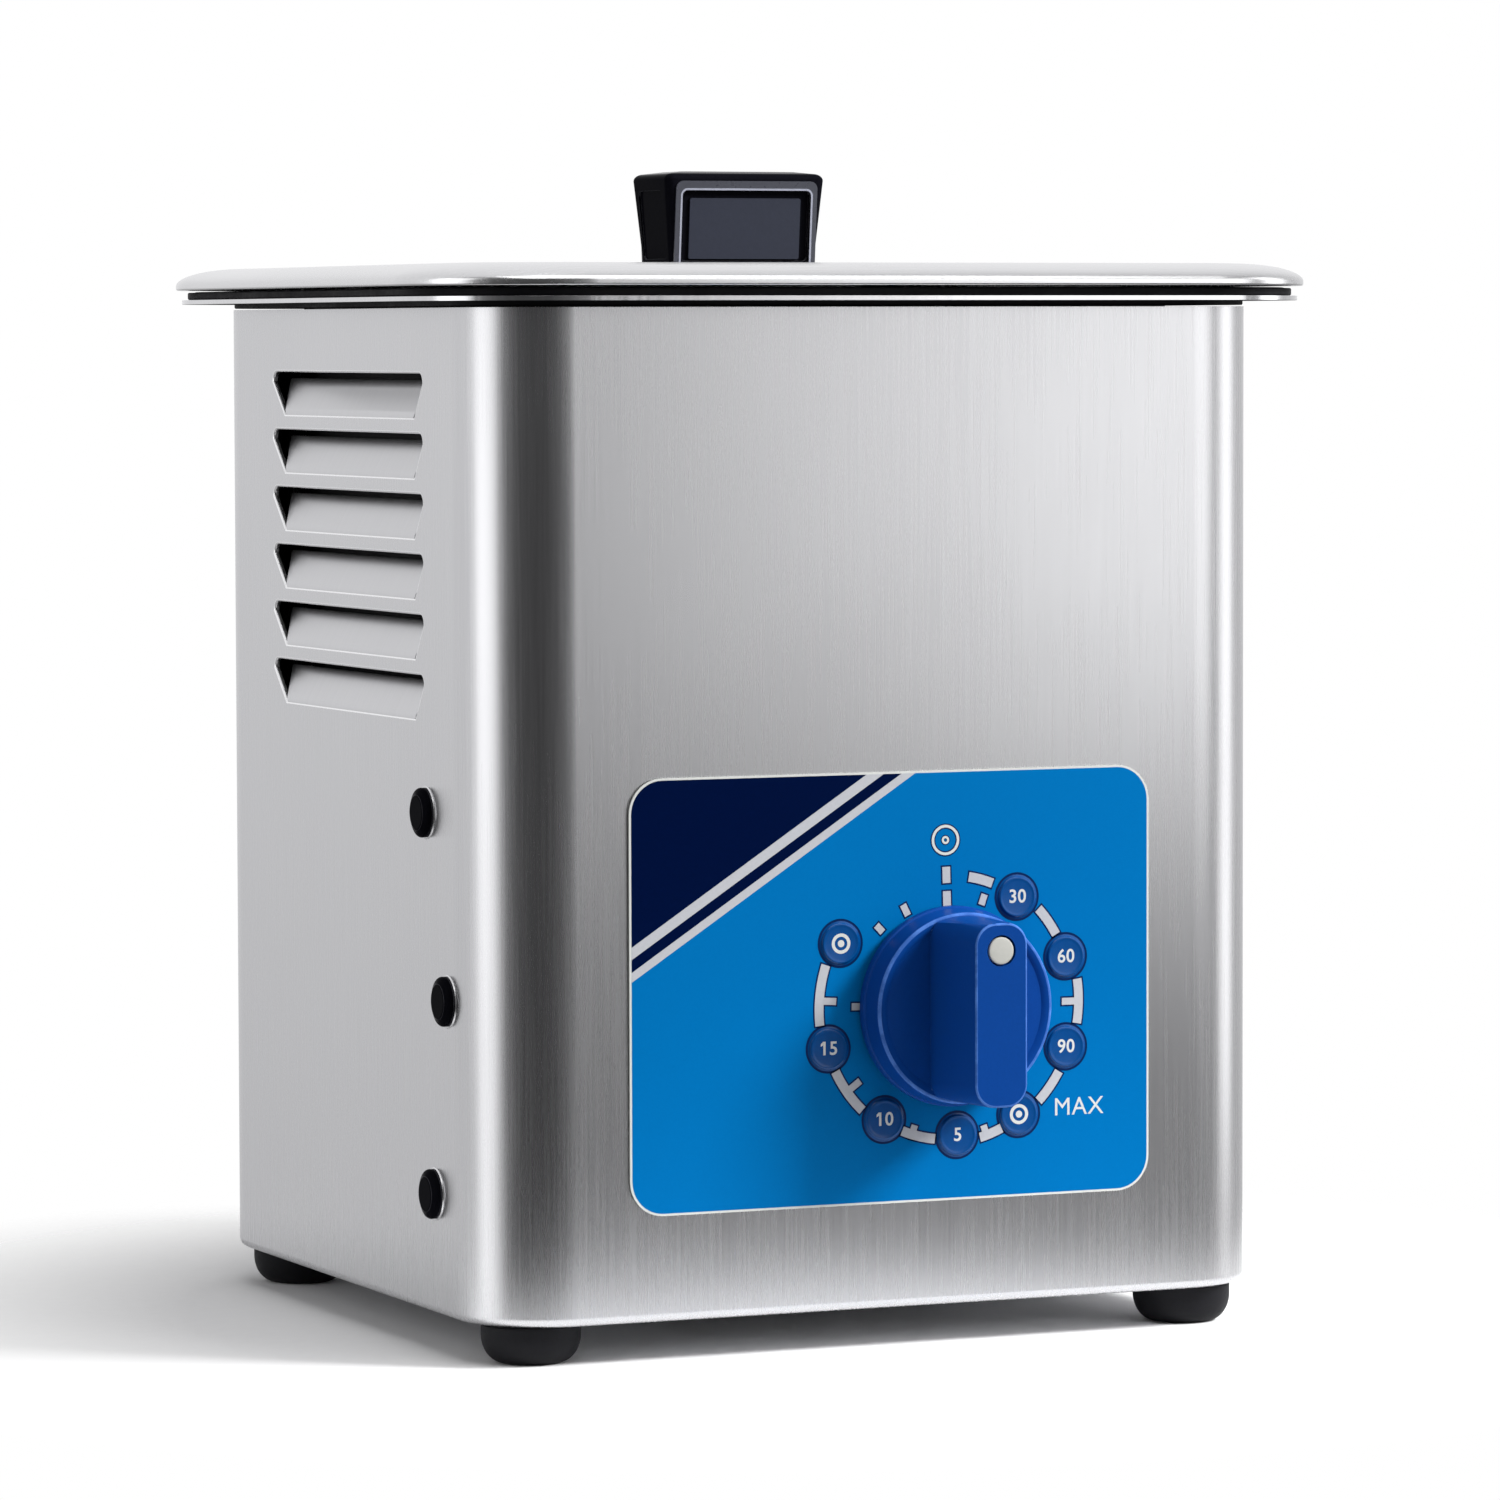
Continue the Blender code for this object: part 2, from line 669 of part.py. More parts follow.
def screw_profile(head_top, shank_end, shank_radius=SCREW_RADIUS):
    """A pan-head screw pointing up: its head hangs below head_top."""
    head_radius, head_height = SCREW_HEAD
    low = head_top - head_height
    return [
        (0, shank_end),
        (shank_radius * 0.7, shank_end),
        (shank_radius, shank_end - 0.5 * MM),
        (shank_radius, head_top),
        (head_radius, head_top),
        (head_radius, low + 0.7 * MM),
        (head_radius * 0.6, low),
        (0, low),
    ]


def make_side_plugs():
    """Snap-in blanking plugs: a domed head outside and a barbed stem inside."""
    dome = 1.9 * MM
    profile = [(0, GAP + dome)]
    dome_steps = 4
    for step in range(1, dome_steps + 1):
        angle = math.pi / 2 * step / dome_steps
        profile.append(
            (PLUG_HEAD_RADIUS * math.sin(angle), GAP + 0.5 * MM + (dome - 0.5 * MM) * math.cos(angle))
        )
    stem = PLUG_HOLE_RADIUS - GAP
    profile += [
        (PLUG_HEAD_RADIUS, GAP),
        (stem, GAP),
        (stem, -3.2 * MM),
        (stem - 1.0 * MM, -5.0 * MM),
        (0, -5.0 * MM),
    ]
    for name, (across, height) in PLUG_PLACES.items():
        place_turned(
            name, profile, "black_plastic", (LEFT_FACE, across, height), FACING_LEFT,
            PLUG_SIDES, closed=False,
        )


# Tank, gasket and lid


def make_tank():
    """The deep-drawn basin: a stepped rim with a thin lip, the mouth, the walls and the floor."""
    rim_width = CABINET_WIDTH + 2 * FLANGE_OVERHANG
    rim_depth = CABINET_DEPTH + 2 * FLANGE_OVERHANG
    rim_radius = CORNER_RADIUS + FLANGE_OVERHANG
    steps = TANK_CORNER_STEPS
    rim = [(0, FLANGE_LIP_TOP), (FLANGE_LIP_WIDTH, FLANGE_LIP_TOP)]
    edge_steps = 2
    for step in range(edge_steps + 1):
        angle = math.pi / 2 * step / edge_steps
        inset = FLANGE_LIP_WIDTH + FLANGE_EDGE_RADIUS * (1 - math.cos(angle))
        rim.append((inset, FLANGE_TOP - FLANGE_EDGE_RADIUS * (1 - math.sin(angle))))
    rings = [
        level_ring(rim_width - 2 * inset, rim_depth - 2 * inset, rim_radius - inset, height, steps)
        for inset, height in rim
    ]
    mouth_width = CABINET_WIDTH - 2 * TANK_MARGIN
    mouth_depth = CABINET_DEPTH - 2 * TANK_MARGIN
    mouth_steps = 2
    for step in range(mouth_steps + 1):
        angle = math.pi / 2 * step / mouth_steps
        outset = TANK_MOUTH_RADIUS * (1 - math.sin(angle))
        height = FLANGE_TOP - TANK_MOUTH_RADIUS * (1 - math.cos(angle))
        rings.append(
            level_ring(
                mouth_width + 2 * outset, mouth_depth + 2 * outset, TANK_CORNER + outset, height,
                steps,
            )
        )
    floor = FLANGE_TOP - TANK_DEPTH
    floor_steps = 3
    for step in range(floor_steps + 1):
        angle = math.pi / 2 * step / floor_steps
        inset = TANK_DRAFT + TANK_FLOOR_RADIUS * (1 - math.cos(angle))
        height = floor + TANK_FLOOR_RADIUS * (1 - math.sin(angle))
        rings.append(
            level_ring(
                mouth_width - 2 * inset, mouth_depth - 2 * inset, TANK_CORNER - inset + TANK_DRAFT,
                height,
                steps,
            )
        )
    add_wall(place("tank", loft_mesh("tank", rings, close_last=True), "polished_steel"), TANK_WALL)


def make_gasket():
    """The black seal between the cabinet's top edge and the flange."""
    low = CABINET_HEIGHT + GAP
    high = FLANGE_TOP - TANK_WALL - GAP
    outer_inset = 0.2 * MM
    inner_inset = 4 * MM
    outer, inner = (
        rounded_rectangle(
            CABINET_WIDTH - 2 * inset, CABINET_DEPTH - 2 * inset, CORNER_RADIUS - inset,
            TANK_CORNER_STEPS,
        )
        for inset in (outer_inset, inner_inset)
    )
    mesh = plate_mesh("rim_gasket", [outer, inner], high - low)
    place("rim_gasket", mesh, "black_rubber", (0, 0, (low + high) / 2))


def make_lid():
    """A shallow pressed cover with a soft shoulder, and its handle and two screws."""
    lid_width = CABINET_WIDTH + 2 * LID_OVERHANG
    lid_depth = CABINET_DEPTH + 2 * LID_OVERHANG
    lid_radius = CORNER_RADIUS + LID_OVERHANG
    outside = []
    for step in range(LID_SHOULDER_STEPS + 1):
        angle = math.pi / 2 * step / LID_SHOULDER_STEPS
        inset = LID_SHOULDER * (1 - math.cos(angle))
        outside.append((inset, LID_BOTTOM + LID_RIM + (LID_HEIGHT - LID_RIM) * math.sin(angle)))
    underside = [(inset, height - SHEET) for inset, height in reversed(outside[LID_HEM_STEPS:])]
    hem_edge = underside[-1][0]
    path = underside + [(hem_edge, LID_BOTTOM), (0, LID_BOTTOM)] + outside
    rings = [
        level_ring(lid_width - 2 * inset, lid_depth - 2 * inset, lid_radius - inset, height)
        for inset, height in path
    ]
    lid = place("lid_cover", loft_mesh("lid_cover", rings, True, True), "polished_steel")
    bm = bmesh.new()
    for side in (-1, 1):
        centre = (side * HANDLE_SCREW_SPACING / 2, 0)
        add_cylinder(bm, SCREW_HOLE, LID_TOP - 3 * MM, LID_TOP + 8 * MM, centre, SMALL_SIDES)
    screw_holes = place_tool("lid_screw_holes", finish_mesh("lid_screw_holes", bm))
    combine(lid, screw_holes, "DIFFERENCE")
    combine(make_handle(), screw_holes, "DIFFERENCE")
    screw = screw_profile(LID_TOP - SHEET - GAP, LID_TOP + 7 * MM)
    for name, side in (("left", -1), ("right", 1)):
        location = (side * HANDLE_SCREW_SPACING / 2, 0, 0)
        place_turned(f"lid_screw_{name}", screw, "zinc_plate", location, sides=SCREW_SIDES, closed=False)


def make_handle():
    """A black grip that widens upwards, with a framed recess in its front and back."""
    low = LID_TOP + GAP
    high = low + HANDLE_HEIGHT
    steps = 3
    rings = [level_ring(*HANDLE_BASE, HANDLE_BASE_CORNER, low, steps)]
    for taken_off, drop, corner in HANDLE_CROWN:
        width, depth = (size - taken_off for size in HANDLE_CREST)
        rings.append(level_ring(width, depth, corner, high - drop, steps))
    handle = place("lid_handle", loft_mesh("lid_handle", rings, True, True), "black_plastic")
    combine(handle, handle_recess_tool((low + high) / 2), "DIFFERENCE")
    return handle


def handle_recess_tool(middle):
    """Two shallow blocks that lie along the handle's sloping front and back faces."""
    lean = math.atan2((HANDLE_CREST[1] - HANDLE_BASE[1]) / 2, HANDLE_HEIGHT)
    face_distance = (HANDLE_BASE[1] + HANDLE_CREST[1]) / 4
    width, height = HANDLE_RECESS
    block = (width, 4 * HANDLE_RECESS_DEPTH, height)
    bm = bmesh.new()
    for side in (-1, 1):
        distance = face_distance - HANDLE_RECESS_DEPTH + block[1] / 2
        centre = Vector((0, side * distance, middle - HANDLE_RECESS_DROP))
        tilt = Matrix.Rotation(-side * lean, 4, "X")
        matrix = Matrix.Translation(centre) @ tilt @ Matrix.Diagonal((*block, 1))
        bmesh.ops.create_cube(bm, size=1, matrix=matrix)
    return place_tool("handle_recesses", finish_mesh("handle_recesses", bm))


# Control panel and timer


def make_panel():
    """The printed overlay: a rounded plate with raised dial dots, open round the timer's nut."""
    width = PANEL_SPAN_X[1] - PANEL_SPAN_X[0]
    height = PANEL_SPAN_Z[1] - PANEL_SPAN_Z[0]
    centre = (sum(PANEL_SPAN_X) / 2, sum(PANEL_SPAN_Z) / 2)
    outlines = [
        rounded_rectangle(width, height, PANEL_CORNER, 6, centre),
        circle_points(PANEL_HOLE_RADIUS, (TIMER_X, TIMER_Z), ROUND_SIDES),
    ]
    mesh = plate_mesh("front_panel", outlines, PANEL_THICKNESS)
    middle = FRONT_FACE - GAP - PANEL_THICKNESS / 2
    panel = place("front_panel", mesh, "blue_overlay", (0, middle, 0), FACING_FRONT)
    bm = bmesh.new()
    for degrees in DIAL_DOT_ANGLES:
        angle = math.radians(degrees)
        dot_centre = (
            TIMER_X + DIAL_DOT_RING * math.sin(angle),
            TIMER_Z + DIAL_DOT_RING * math.cos(angle),
        )
        top = PANEL_THICKNESS / 2 + DIAL_DOT_HEIGHT
        add_cylinder(
            bm, DIAL_DOT_RADIUS, 0, top, dot_centre, SMALL_SIDES, DIAL_DOT_RADIUS - DIAL_DOT_TAPER
        )
    dots = place_tool("dial_dots", finish_mesh("dial_dots", bm), (0, middle, 0), FACING_FRONT)
    combine(panel, dots, "UNION")


def make_knob():
    """A skirted knob: a drafted grip bar whose ends follow the disc, hollow behind."""
    disc = [
        (0, KNOB_DISC),
        (KNOB_RADIUS - 2.0 * MM, KNOB_DISC),
        (KNOB_RADIUS - 1.1 * MM, KNOB_DISC - 0.4 * MM),
        (KNOB_RADIUS - 0.8 * MM, KNOB_DISC - 1.2 * MM),
        (KNOB_RADIUS, KNOB_SEAT),
        (0, KNOB_SEAT),
    ]
    knob = place_turned(
        "timer_knob", disc, "blue_plastic", (0, 0, 0), sides=KNOB_SIDES, closed=False,
        parent=TIMER_AXIS,
    )
    combine(knob, grip_tool(), "UNION")
    bm = bmesh.new()
    bore = (SHAFT_RADIUS + SHAFT_CLEARANCE) / math.cos(math.pi / ROUND_SIDES)
    add_cylinder(bm, KNOB_HOLLOW_RADIUS, KNOB_SEAT - 2 * MM, BUSHING_REACH + 1.6 * MM)
    hollow = place_tool("knob_hollow", finish_mesh("knob_hollow", bm), parent=TIMER_AXIS)
    combine(knob, hollow, "DIFFERENCE")
    bm = bmesh.new()
    add_cylinder(bm, bore, BUSHING_REACH, KNOB_BORE_END)
    dot_floor = KNOB_REACH - KNOB_DOT_THICKNESS - GAP
    dot_well = KNOB_DOT_RADIUS + 0.2 * MM
    add_cylinder(bm, dot_well, dot_floor, KNOB_REACH + 2 * MM, (0, KNOB_DOT_OFFSET))
    sockets = place_tool("knob_sockets", finish_mesh("knob_sockets", bm), parent=TIMER_AXIS)
    combine(knob, sockets, "DIFFERENCE")
    dot = cylinder_mesh(
        "knob_dot", KNOB_DOT_RADIUS, KNOB_REACH - KNOB_DOT_THICKNESS, KNOB_REACH,
        (0, KNOB_DOT_OFFSET), 24,
    )
    place("knob_dot", dot, "cream_plastic", parent=TIMER_AXIS)


def grip_tool():
    """The grip bar: a wedge trimmed by a cone, so that its ends are round."""
    reach = KNOB_RADIUS + 5 * MM
    widths = (
        (KNOB_SEAT + 2 * MM, GRIP_BASE_WIDTH),
        (KNOB_REACH - 0.7 * MM, GRIP_NOSE_WIDTH + 0.2 * MM),
        (KNOB_REACH, GRIP_NOSE_WIDTH - 1.2 * MM),
    )
    rings = []
    for height, width in widths:
        half = width / 2
        corners = ((half, reach), (-half, reach), (-half, -reach), (half, -reach))
        rings.append([(x, y, height) for x, y in corners])
    grip = place_tool("knob_grip", loft_mesh("knob_grip", rings, True, True), parent=TIMER_AXIS)
    trim = [
        (0, KNOB_REACH + MM),
        (GRIP_NOSE_RADIUS - 1.6 * MM, KNOB_REACH + MM),
        (GRIP_NOSE_RADIUS, KNOB_REACH - 0.9 * MM),
        (KNOB_RADIUS - 1.2 * MM, KNOB_DISC),
        (KNOB_RADIUS - 1.0 * MM, KNOB_SEAT + MM),
        (0, KNOB_SEAT + MM),
    ]
    trim_mesh = turned_mesh("knob_grip_trim", trim, closed=False)
    trim_tool = turn(place_tool("knob_grip_trim", trim_mesh, parent=TIMER_AXIS), KNOB_SIDES)
    combine(grip, trim_tool, "INTERSECT")
    return grip


def make_timer():
    """The timer behind the panel: an open-backed case with a threaded bushing, shaft, cam and nut."""
    inner_wall = -SHEET
    case_front = inner_wall - 2 * GAP
    case_back = case_front - TIMER_BODY[2]
    bore = (SHAFT_RADIUS + SHAFT_CLEARANCE) / math.cos(math.pi / ROUND_SIDES)
    case_centre = (0, 0, (case_front + case_back) / 2)
    case = place("timer_case", box_mesh("timer_case", TIMER_BODY, case_centre), "zinc_plate",
                 parent=TIMER_AXIS)
    round_edges(case, 0.8 * MM, 1)
    bushing = cylinder_mesh("timer_bushing", BUSHING_RADIUS, case_front - MM, BUSHING_REACH, sides=BUSHING_SIDES)
    combine(case, place_tool("timer_bushing", bushing, parent=TIMER_AXIS), "UNION")
    cavity_size = (TIMER_BODY[0] - 2 * TIMER_SHELL, TIMER_BODY[1] - 2 * TIMER_SHELL, TIMER_BODY[2])
    bm = bmesh.new()
    add_box(bm, cavity_size, (0, 0, case_centre[2] - TIMER_SHELL))
    cavity = place_tool("timer_cavity", finish_mesh("timer_cavity", bm), parent=TIMER_AXIS)
    combine(case, cavity, "DIFFERENCE")
    bore_mesh = cylinder_mesh("timer_bore", bore, case_front - 4 * MM, BUSHING_REACH + MM)
    combine(case, place_tool("timer_bore", bore_mesh, parent=TIMER_AXIS), "DIFFERENCE")

    shaft_end = case_back + 4 * MM
    shaft = cylinder_mesh("timer_shaft", SHAFT_RADIUS, shaft_end, SHAFT_END)
    place("timer_shaft", shaft, "zinc_plate", parent=TIMER_AXIS)

    cam = plate_mesh("timer_cam", [cam_outline(), circle_points(bore, sides=ROUND_SIDES)], CAM_THICKNESS)
    place("timer_cam", cam, "cream_plastic", (0, 0, case_centre[2]), parent=TIMER_AXIS)

    nut_low = 2 * GAP
    nut_hole = circle_points(BUSHING_RADIUS + GAP / 2, sides=BUSHING_SIDES)
    nut = plate_mesh("timer_nut", [circle_points(TIMER_NUT_RADIUS, sides=6), nut_hole], TIMER_NUT_HEIGHT)
    place("timer_nut", nut, "zinc_plate", (0, 0, nut_low + TIMER_NUT_HEIGHT / 2), parent=TIMER_AXIS)


def cam_outline():
    """A disc with a notch where the switch drops out at the off position."""
    points = []
    sides = 32
    for index in range(sides):
        angle = TURN * index / sides
        in_notch = abs(angle - math.pi / 2) < math.radians(12)
        radius = CAM_RADIUS - 3 * MM if in_notch else CAM_RADIUS
        points.append((radius * math.cos(angle), radius * math.sin(angle)))
    return points


# Transducer


def make_transducer():
    """A bolt-clamped stack bonded under the tank: horn, ceramic rings, electrodes and back mass."""
    horn_top = FLANGE_TOP - TANK_DEPTH - TANK_WALL - GAP
    horn_low = horn_top - HORN_HEIGHT
    bolt_hole = STACK_BOLT_RADIUS + GAP
    bolt_tip = horn_low + 12 * MM
    horn = [
        (0, horn_top),
        (HORN_TOP_RADIUS, horn_top),
        (HORN_TOP_RADIUS, horn_top - 4 * MM),
        (STACK_RADIUS, horn_low),
        (bolt_hole, horn_low),
        (bolt_hole, bolt_tip + MM),
        (0, bolt_tip + MM),
    ]
    place_turned("transducer_horn", horn, "aluminium", (0, 0, 0), closed=False)

    level = place_stack_ring("ceramic_upper", CERAMIC_BORE, CERAMIC_THICKNESS, "ceramic", horn_low)
    level = place_electrode("electrode_hot", level, 0)
    level = place_stack_ring("ceramic_lower", CERAMIC_BORE, CERAMIC_THICKNESS, "ceramic", level)
    level = place_electrode("electrode_ground", level, 180)
    level = place_stack_ring("back_mass", bolt_hole, BACK_MASS_HEIGHT, "zinc_plate", level)

    head_radius, head_height = STACK_BOLT_HEAD
    head_top = level - GAP
    bolt = cylinder_mesh("transducer_bolt", head_radius, head_top - head_height, head_top, sides=6)
    bolt_object = place("transducer_bolt", bolt, "zinc_plate")
    shank = cylinder_mesh("bolt_shank", STACK_BOLT_RADIUS, head_top - MM, bolt_tip, sides=20)
    combine(bolt_object, place_tool("bolt_shank", shank), "UNION")


def place_stack_ring(name, bore, height, material, above):
    """Adds a ring under the level above, and returns its own underside."""
    top = above - GAP
    low = top - height
    profile = [(STACK_RADIUS, top), (STACK_RADIUS, low), (bore, low), (bore, top)]
    place_turned(name, profile, material, (0, 0, 0))
    return low


def place_electrode(name, above, tab_angle):
    """A thin ring with a solder tab on one side."""
    top = above - GAP
    tab_half = math.radians(6)
    tab_reach = STACK_RADIUS + 6 * MM
    outline = []
    sides = 32
    for index in range(sides):
        angle = tab_half + (TURN - 2 * tab_half) * index / (sides - 1)
        outline.append((STACK_RADIUS * math.cos(angle), STACK_RADIUS * math.sin(angle)))
    tab_y = STACK_RADIUS * math.sin(tab_half)
    outline += [(tab_reach, -tab_y), (tab_reach, tab_y)]
    hole = circle_points(STACK_BOLT_RADIUS + GAP, sides=20)
    mesh = plate_mesh(name, [outline, hole], ELECTRODE_THICKNESS)
    place(name, mesh, "brass", (0, 0, top - ELECTRODE_THICKNESS / 2), (0, 0, math.radians(tab_angle)))
    return top - ELECTRODE_THICKNESS


# Circuit board


def board_corner_places():
    inset = 4 * MM
    reach_x = BOARD_SIZE[0] / 2 - inset
    reach_y = BOARD_SIZE[1] / 2 - inset
    signs = {"front_left": (-1, -1), "front_right": (1, -1), "back_left": (-1, 1), "back_right": (1, 1)}
    return {
        name: (BOARD_CENTRE[0] + side_x * reach_x, BOARD_CENTRE[1] + side_y * reach_y)
        for name, (side_x, side_y) in signs.items()
    }


def make_board():
    """The drive electronics on the base plate: board, standoffs, transformer, capacitors, heat sink."""
    outline = rounded_rectangle(BOARD_SIZE[0], BOARD_SIZE[1], 2 * MM, 2, BOARD_CENTRE)
    holes = [circle_points(1.3 * MM, place_xy, 10) for place_xy in board_corner_places().values()]
    mesh = plate_mesh("circuit_board", [outline, *holes], BOARD_SIZE[2])
    place("circuit_board", mesh, "board_green", (0, 0, BOARD_BOTTOM + BOARD_SIZE[2] / 2))
    for corner, place_xy in board_corner_places().items():
        low = BASE_PLATE_TOP + GAP
        standoff = cylinder_mesh(
            f"board_standoff_{corner}", STANDOFF_RADIUS, low, low + STANDOFF_HEIGHT, sides=6
        )
        place(f"board_standoff_{corner}", standoff, "brass", (*place_xy, 0))
    make_transformer()
    floor = BOARD_TOP + GAP
    capacitors = {
        "capacitor_large": (8 * MM, 22 * MM, (-2 * MM, 44 * MM)),
        "capacitor_small": (5 * MM, 14 * MM, (-4 * MM, 24 * MM)),
    }
    for name, (radius, height, centre) in capacitors.items():
        profile = [
            (0, floor + height),
            (radius - 0.6 * MM, floor + height),
            (radius, floor + height - 0.6 * MM),
            (radius, floor),
            (0, floor),
        ]
        place_turned(name, profile, "capacitor_sleeve", (*centre, 0), sides=20, closed=False)
    make_heat_sink()


def make_transformer():
    """A laminated core with two windows, and the winding round its middle limb."""
    centre = (-31 * MM, 32 * MM)
    width, height, stack = 36 * MM, 30 * MM, 16 * MM
    limb = 10 * MM
    window = (7 * MM, 18 * MM)
    offset = (limb + window[0]) / 2
    outlines = [
        rounded_rectangle(width, height, 1 * MM, 1),
        rounded_rectangle(*window, 0.3 * MM, 1, (-offset, 0)),
        rounded_rectangle(*window, 0.3 * MM, 1, (offset, 0)),
    ]
    mesh = plate_mesh("transformer_core", outlines, stack)
    middle = BOARD_TOP + GAP + height / 2 + 3 * MM
    place("transformer_core", mesh, "lamination_steel", (*centre, middle), FACING_FRONT)
    coil_height = window[1] - 2 * GAP
    build = window[0] - 2 * GAP
    outer = rounded_rectangle(limb + 2 * GAP + 2 * build, stack + 2 * GAP + 2 * build, 3 * MM, 3)
    inner = rounded_rectangle(limb + 2 * GAP, stack + 2 * GAP, 0.3 * MM, 3)
    coil = plate_mesh("transformer_coil", [outer, inner], coil_height)
    place("transformer_coil", coil, "winding_tape", (*centre, middle))


def make_heat_sink():
    """A finned extrusion with a power transistor on its flat side."""
    centre = Vector((28 * MM, 34 * MM, 0))
    length = 42 * MM
    height = 24 * MM
    back = 3 * MM
    fin_count = 6
    fin = 2.0 * MM
    fin_reach = 10 * MM
    pitch = (length - fin) / (fin_count - 1)
    outline = [(-length / 2, -back), (length / 2, -back)]
    for index in range(fin_count - 1, -1, -1):
        low_edge = -length / 2 + index * pitch
        if index < fin_count - 1:
            outline.append((low_edge + fin, 0))
        outline.append((low_edge + fin, fin_reach))
        outline.append((low_edge, fin_reach))
        if index > 0:
            outline.append((low_edge, 0))
    floor = BOARD_TOP + GAP
    sink = plate_mesh("heat_sink", [outline], height)
    turned = (0, 0, math.radians(-90))
    place("heat_sink", sink, "aluminium", (centre.x, centre.y, floor + height / 2), turned)
    body = (4.5 * MM, 10 * MM, 15 * MM)
    for name, shift in (("front", -10 * MM), ("back", 10 * MM)):
        mesh = box_mesh(f"power_transistor_{name}", body)
        x = centre.x - back - GAP - body[0] / 2
        location = (x, centre.y + shift, floor + 4 * MM + body[2] / 2)
        place(f"power_transistor_{name}", mesh, "black_plastic", location)


# Mains inlet, made facing +Z in the inlet's own frame: z = 0 is the cabinet's back face


def make_inlet():
    """An appliance inlet with a recessed socket, three blades, two screws and a fuse drawer."""
    flange_low = GAP
    flange_high = flange_low + INLET_FLANGE[2]
    screw_places = [(-INLET_SCREW_SPACING / 2, 0), (INLET_SCREW_SPACING / 2, 0)]
    outlines = [rounded_rectangle(INLET_FLANGE[0], INLET_FLANGE[1], 5 * MM, 4)]
    outlines += [circle_points(SCREW_HOLE, place_xy) for place_xy in screw_places]
    mesh = plate_mesh("power_inlet", outlines, INLET_FLANGE[2])
    middle = (flange_low + flange_high) / 2
    inlet = place("power_inlet", mesh, "black_plastic", (0, 0, middle), parent=INLET_FRAME)
    body_low = -INLET_BODY[2]
    body_size = (INLET_BODY[0], INLET_BODY[1], middle - body_low)
    body = box_mesh("inlet_body", body_size, (0, 0, (middle + body_low) / 2))
    combine(inlet, place_tool("inlet_body", body, parent=INLET_FRAME), "UNION")

    socket_floor = flange_high - SOCKET_DEPTH
    socket_reach = SOCKET_DEPTH + 2 * MM
    socket = plate_mesh("inlet_socket", [socket_outline()], socket_reach)
    socket_tool = place_tool(
        "inlet_socket", socket, (0, 0, socket_floor + socket_reach / 2), parent=INLET_FRAME
    )
    combine(inlet, socket_tool, "DIFFERENCE")

    bm = bmesh.new()
    for x, y in blade_places().values():
        slot = (PIN_SIZE[0] + 2 * GAP, PIN_SIZE[1] + 2 * GAP, 12 * MM)
        add_box(bm, slot, (x, y, body_low + 2 * MM))
    slot_depth = DRAWER_SIZE[2] + GAP
    slot = (DRAWER_SIZE[0] + 2 * GAP, DRAWER_SIZE[1] + 2 * GAP, slot_depth + 2 * MM)
    add_box(bm, slot, (0, DRAWER_DROP, flange_high + 2 * MM - slot[2] / 2))
    slots = place_tool("inlet_slots", finish_mesh("inlet_slots", bm), parent=INLET_FRAME)
    combine(inlet, slots, "DIFFERENCE")

    for name, (x, y) in blade_places().items():
        blade_low = body_low - 6 * MM
        blade_high = flange_high - PIN_SETBACK
        size = (*PIN_SIZE, blade_high - blade_low)
        blade = box_mesh(name, size, (x, y, (blade_high + blade_low) / 2))
        round_edges(place(name, blade, "brass", parent=INLET_FRAME), 0.4 * MM, 1)

    screw = [(radius, -height) for radius, height in reversed(screw_profile(-flange_high - GAP, 7 * MM))]
    for name, (x, y) in zip(("left", "right"), screw_places):
        place_turned(
            f"inlet_screw_{name}", screw, "zinc_plate", (x, y, 0), sides=SCREW_SIDES, closed=False,
            parent=INLET_FRAME,
        )
    make_fuse_drawer(flange_high)


def socket_outline():
    """A rectangle with its two top corners cut off."""
    half_width = SOCKET_SIZE[0] / 2
    top = SOCKET_LIFT + SOCKET_SIZE[1] / 2
    low = SOCKET_LIFT - SOCKET_SIZE[1] / 2
    return [
        (half_width, low),
        (half_width, top - SOCKET_CHAMFER),
        (half_width - SOCKET_CHAMFER, top),
        (SOCKET_CHAMFER - half_width, top),
        (-half_width, top - SOCKET_CHAMFER),
        (-half_width, low),
    ]


def blade_places():
    """The earth blade is in the middle and above the two supply blades."""
    return {
        "inlet_pin_live": (7 * MM, SOCKET_LIFT - 2 * MM),
        "inlet_pin_earth": (0, SOCKET_LIFT + 2 * MM),
        "inlet_pin_neutral": (-7 * MM, SOCKET_LIFT - 2 * MM),
    }


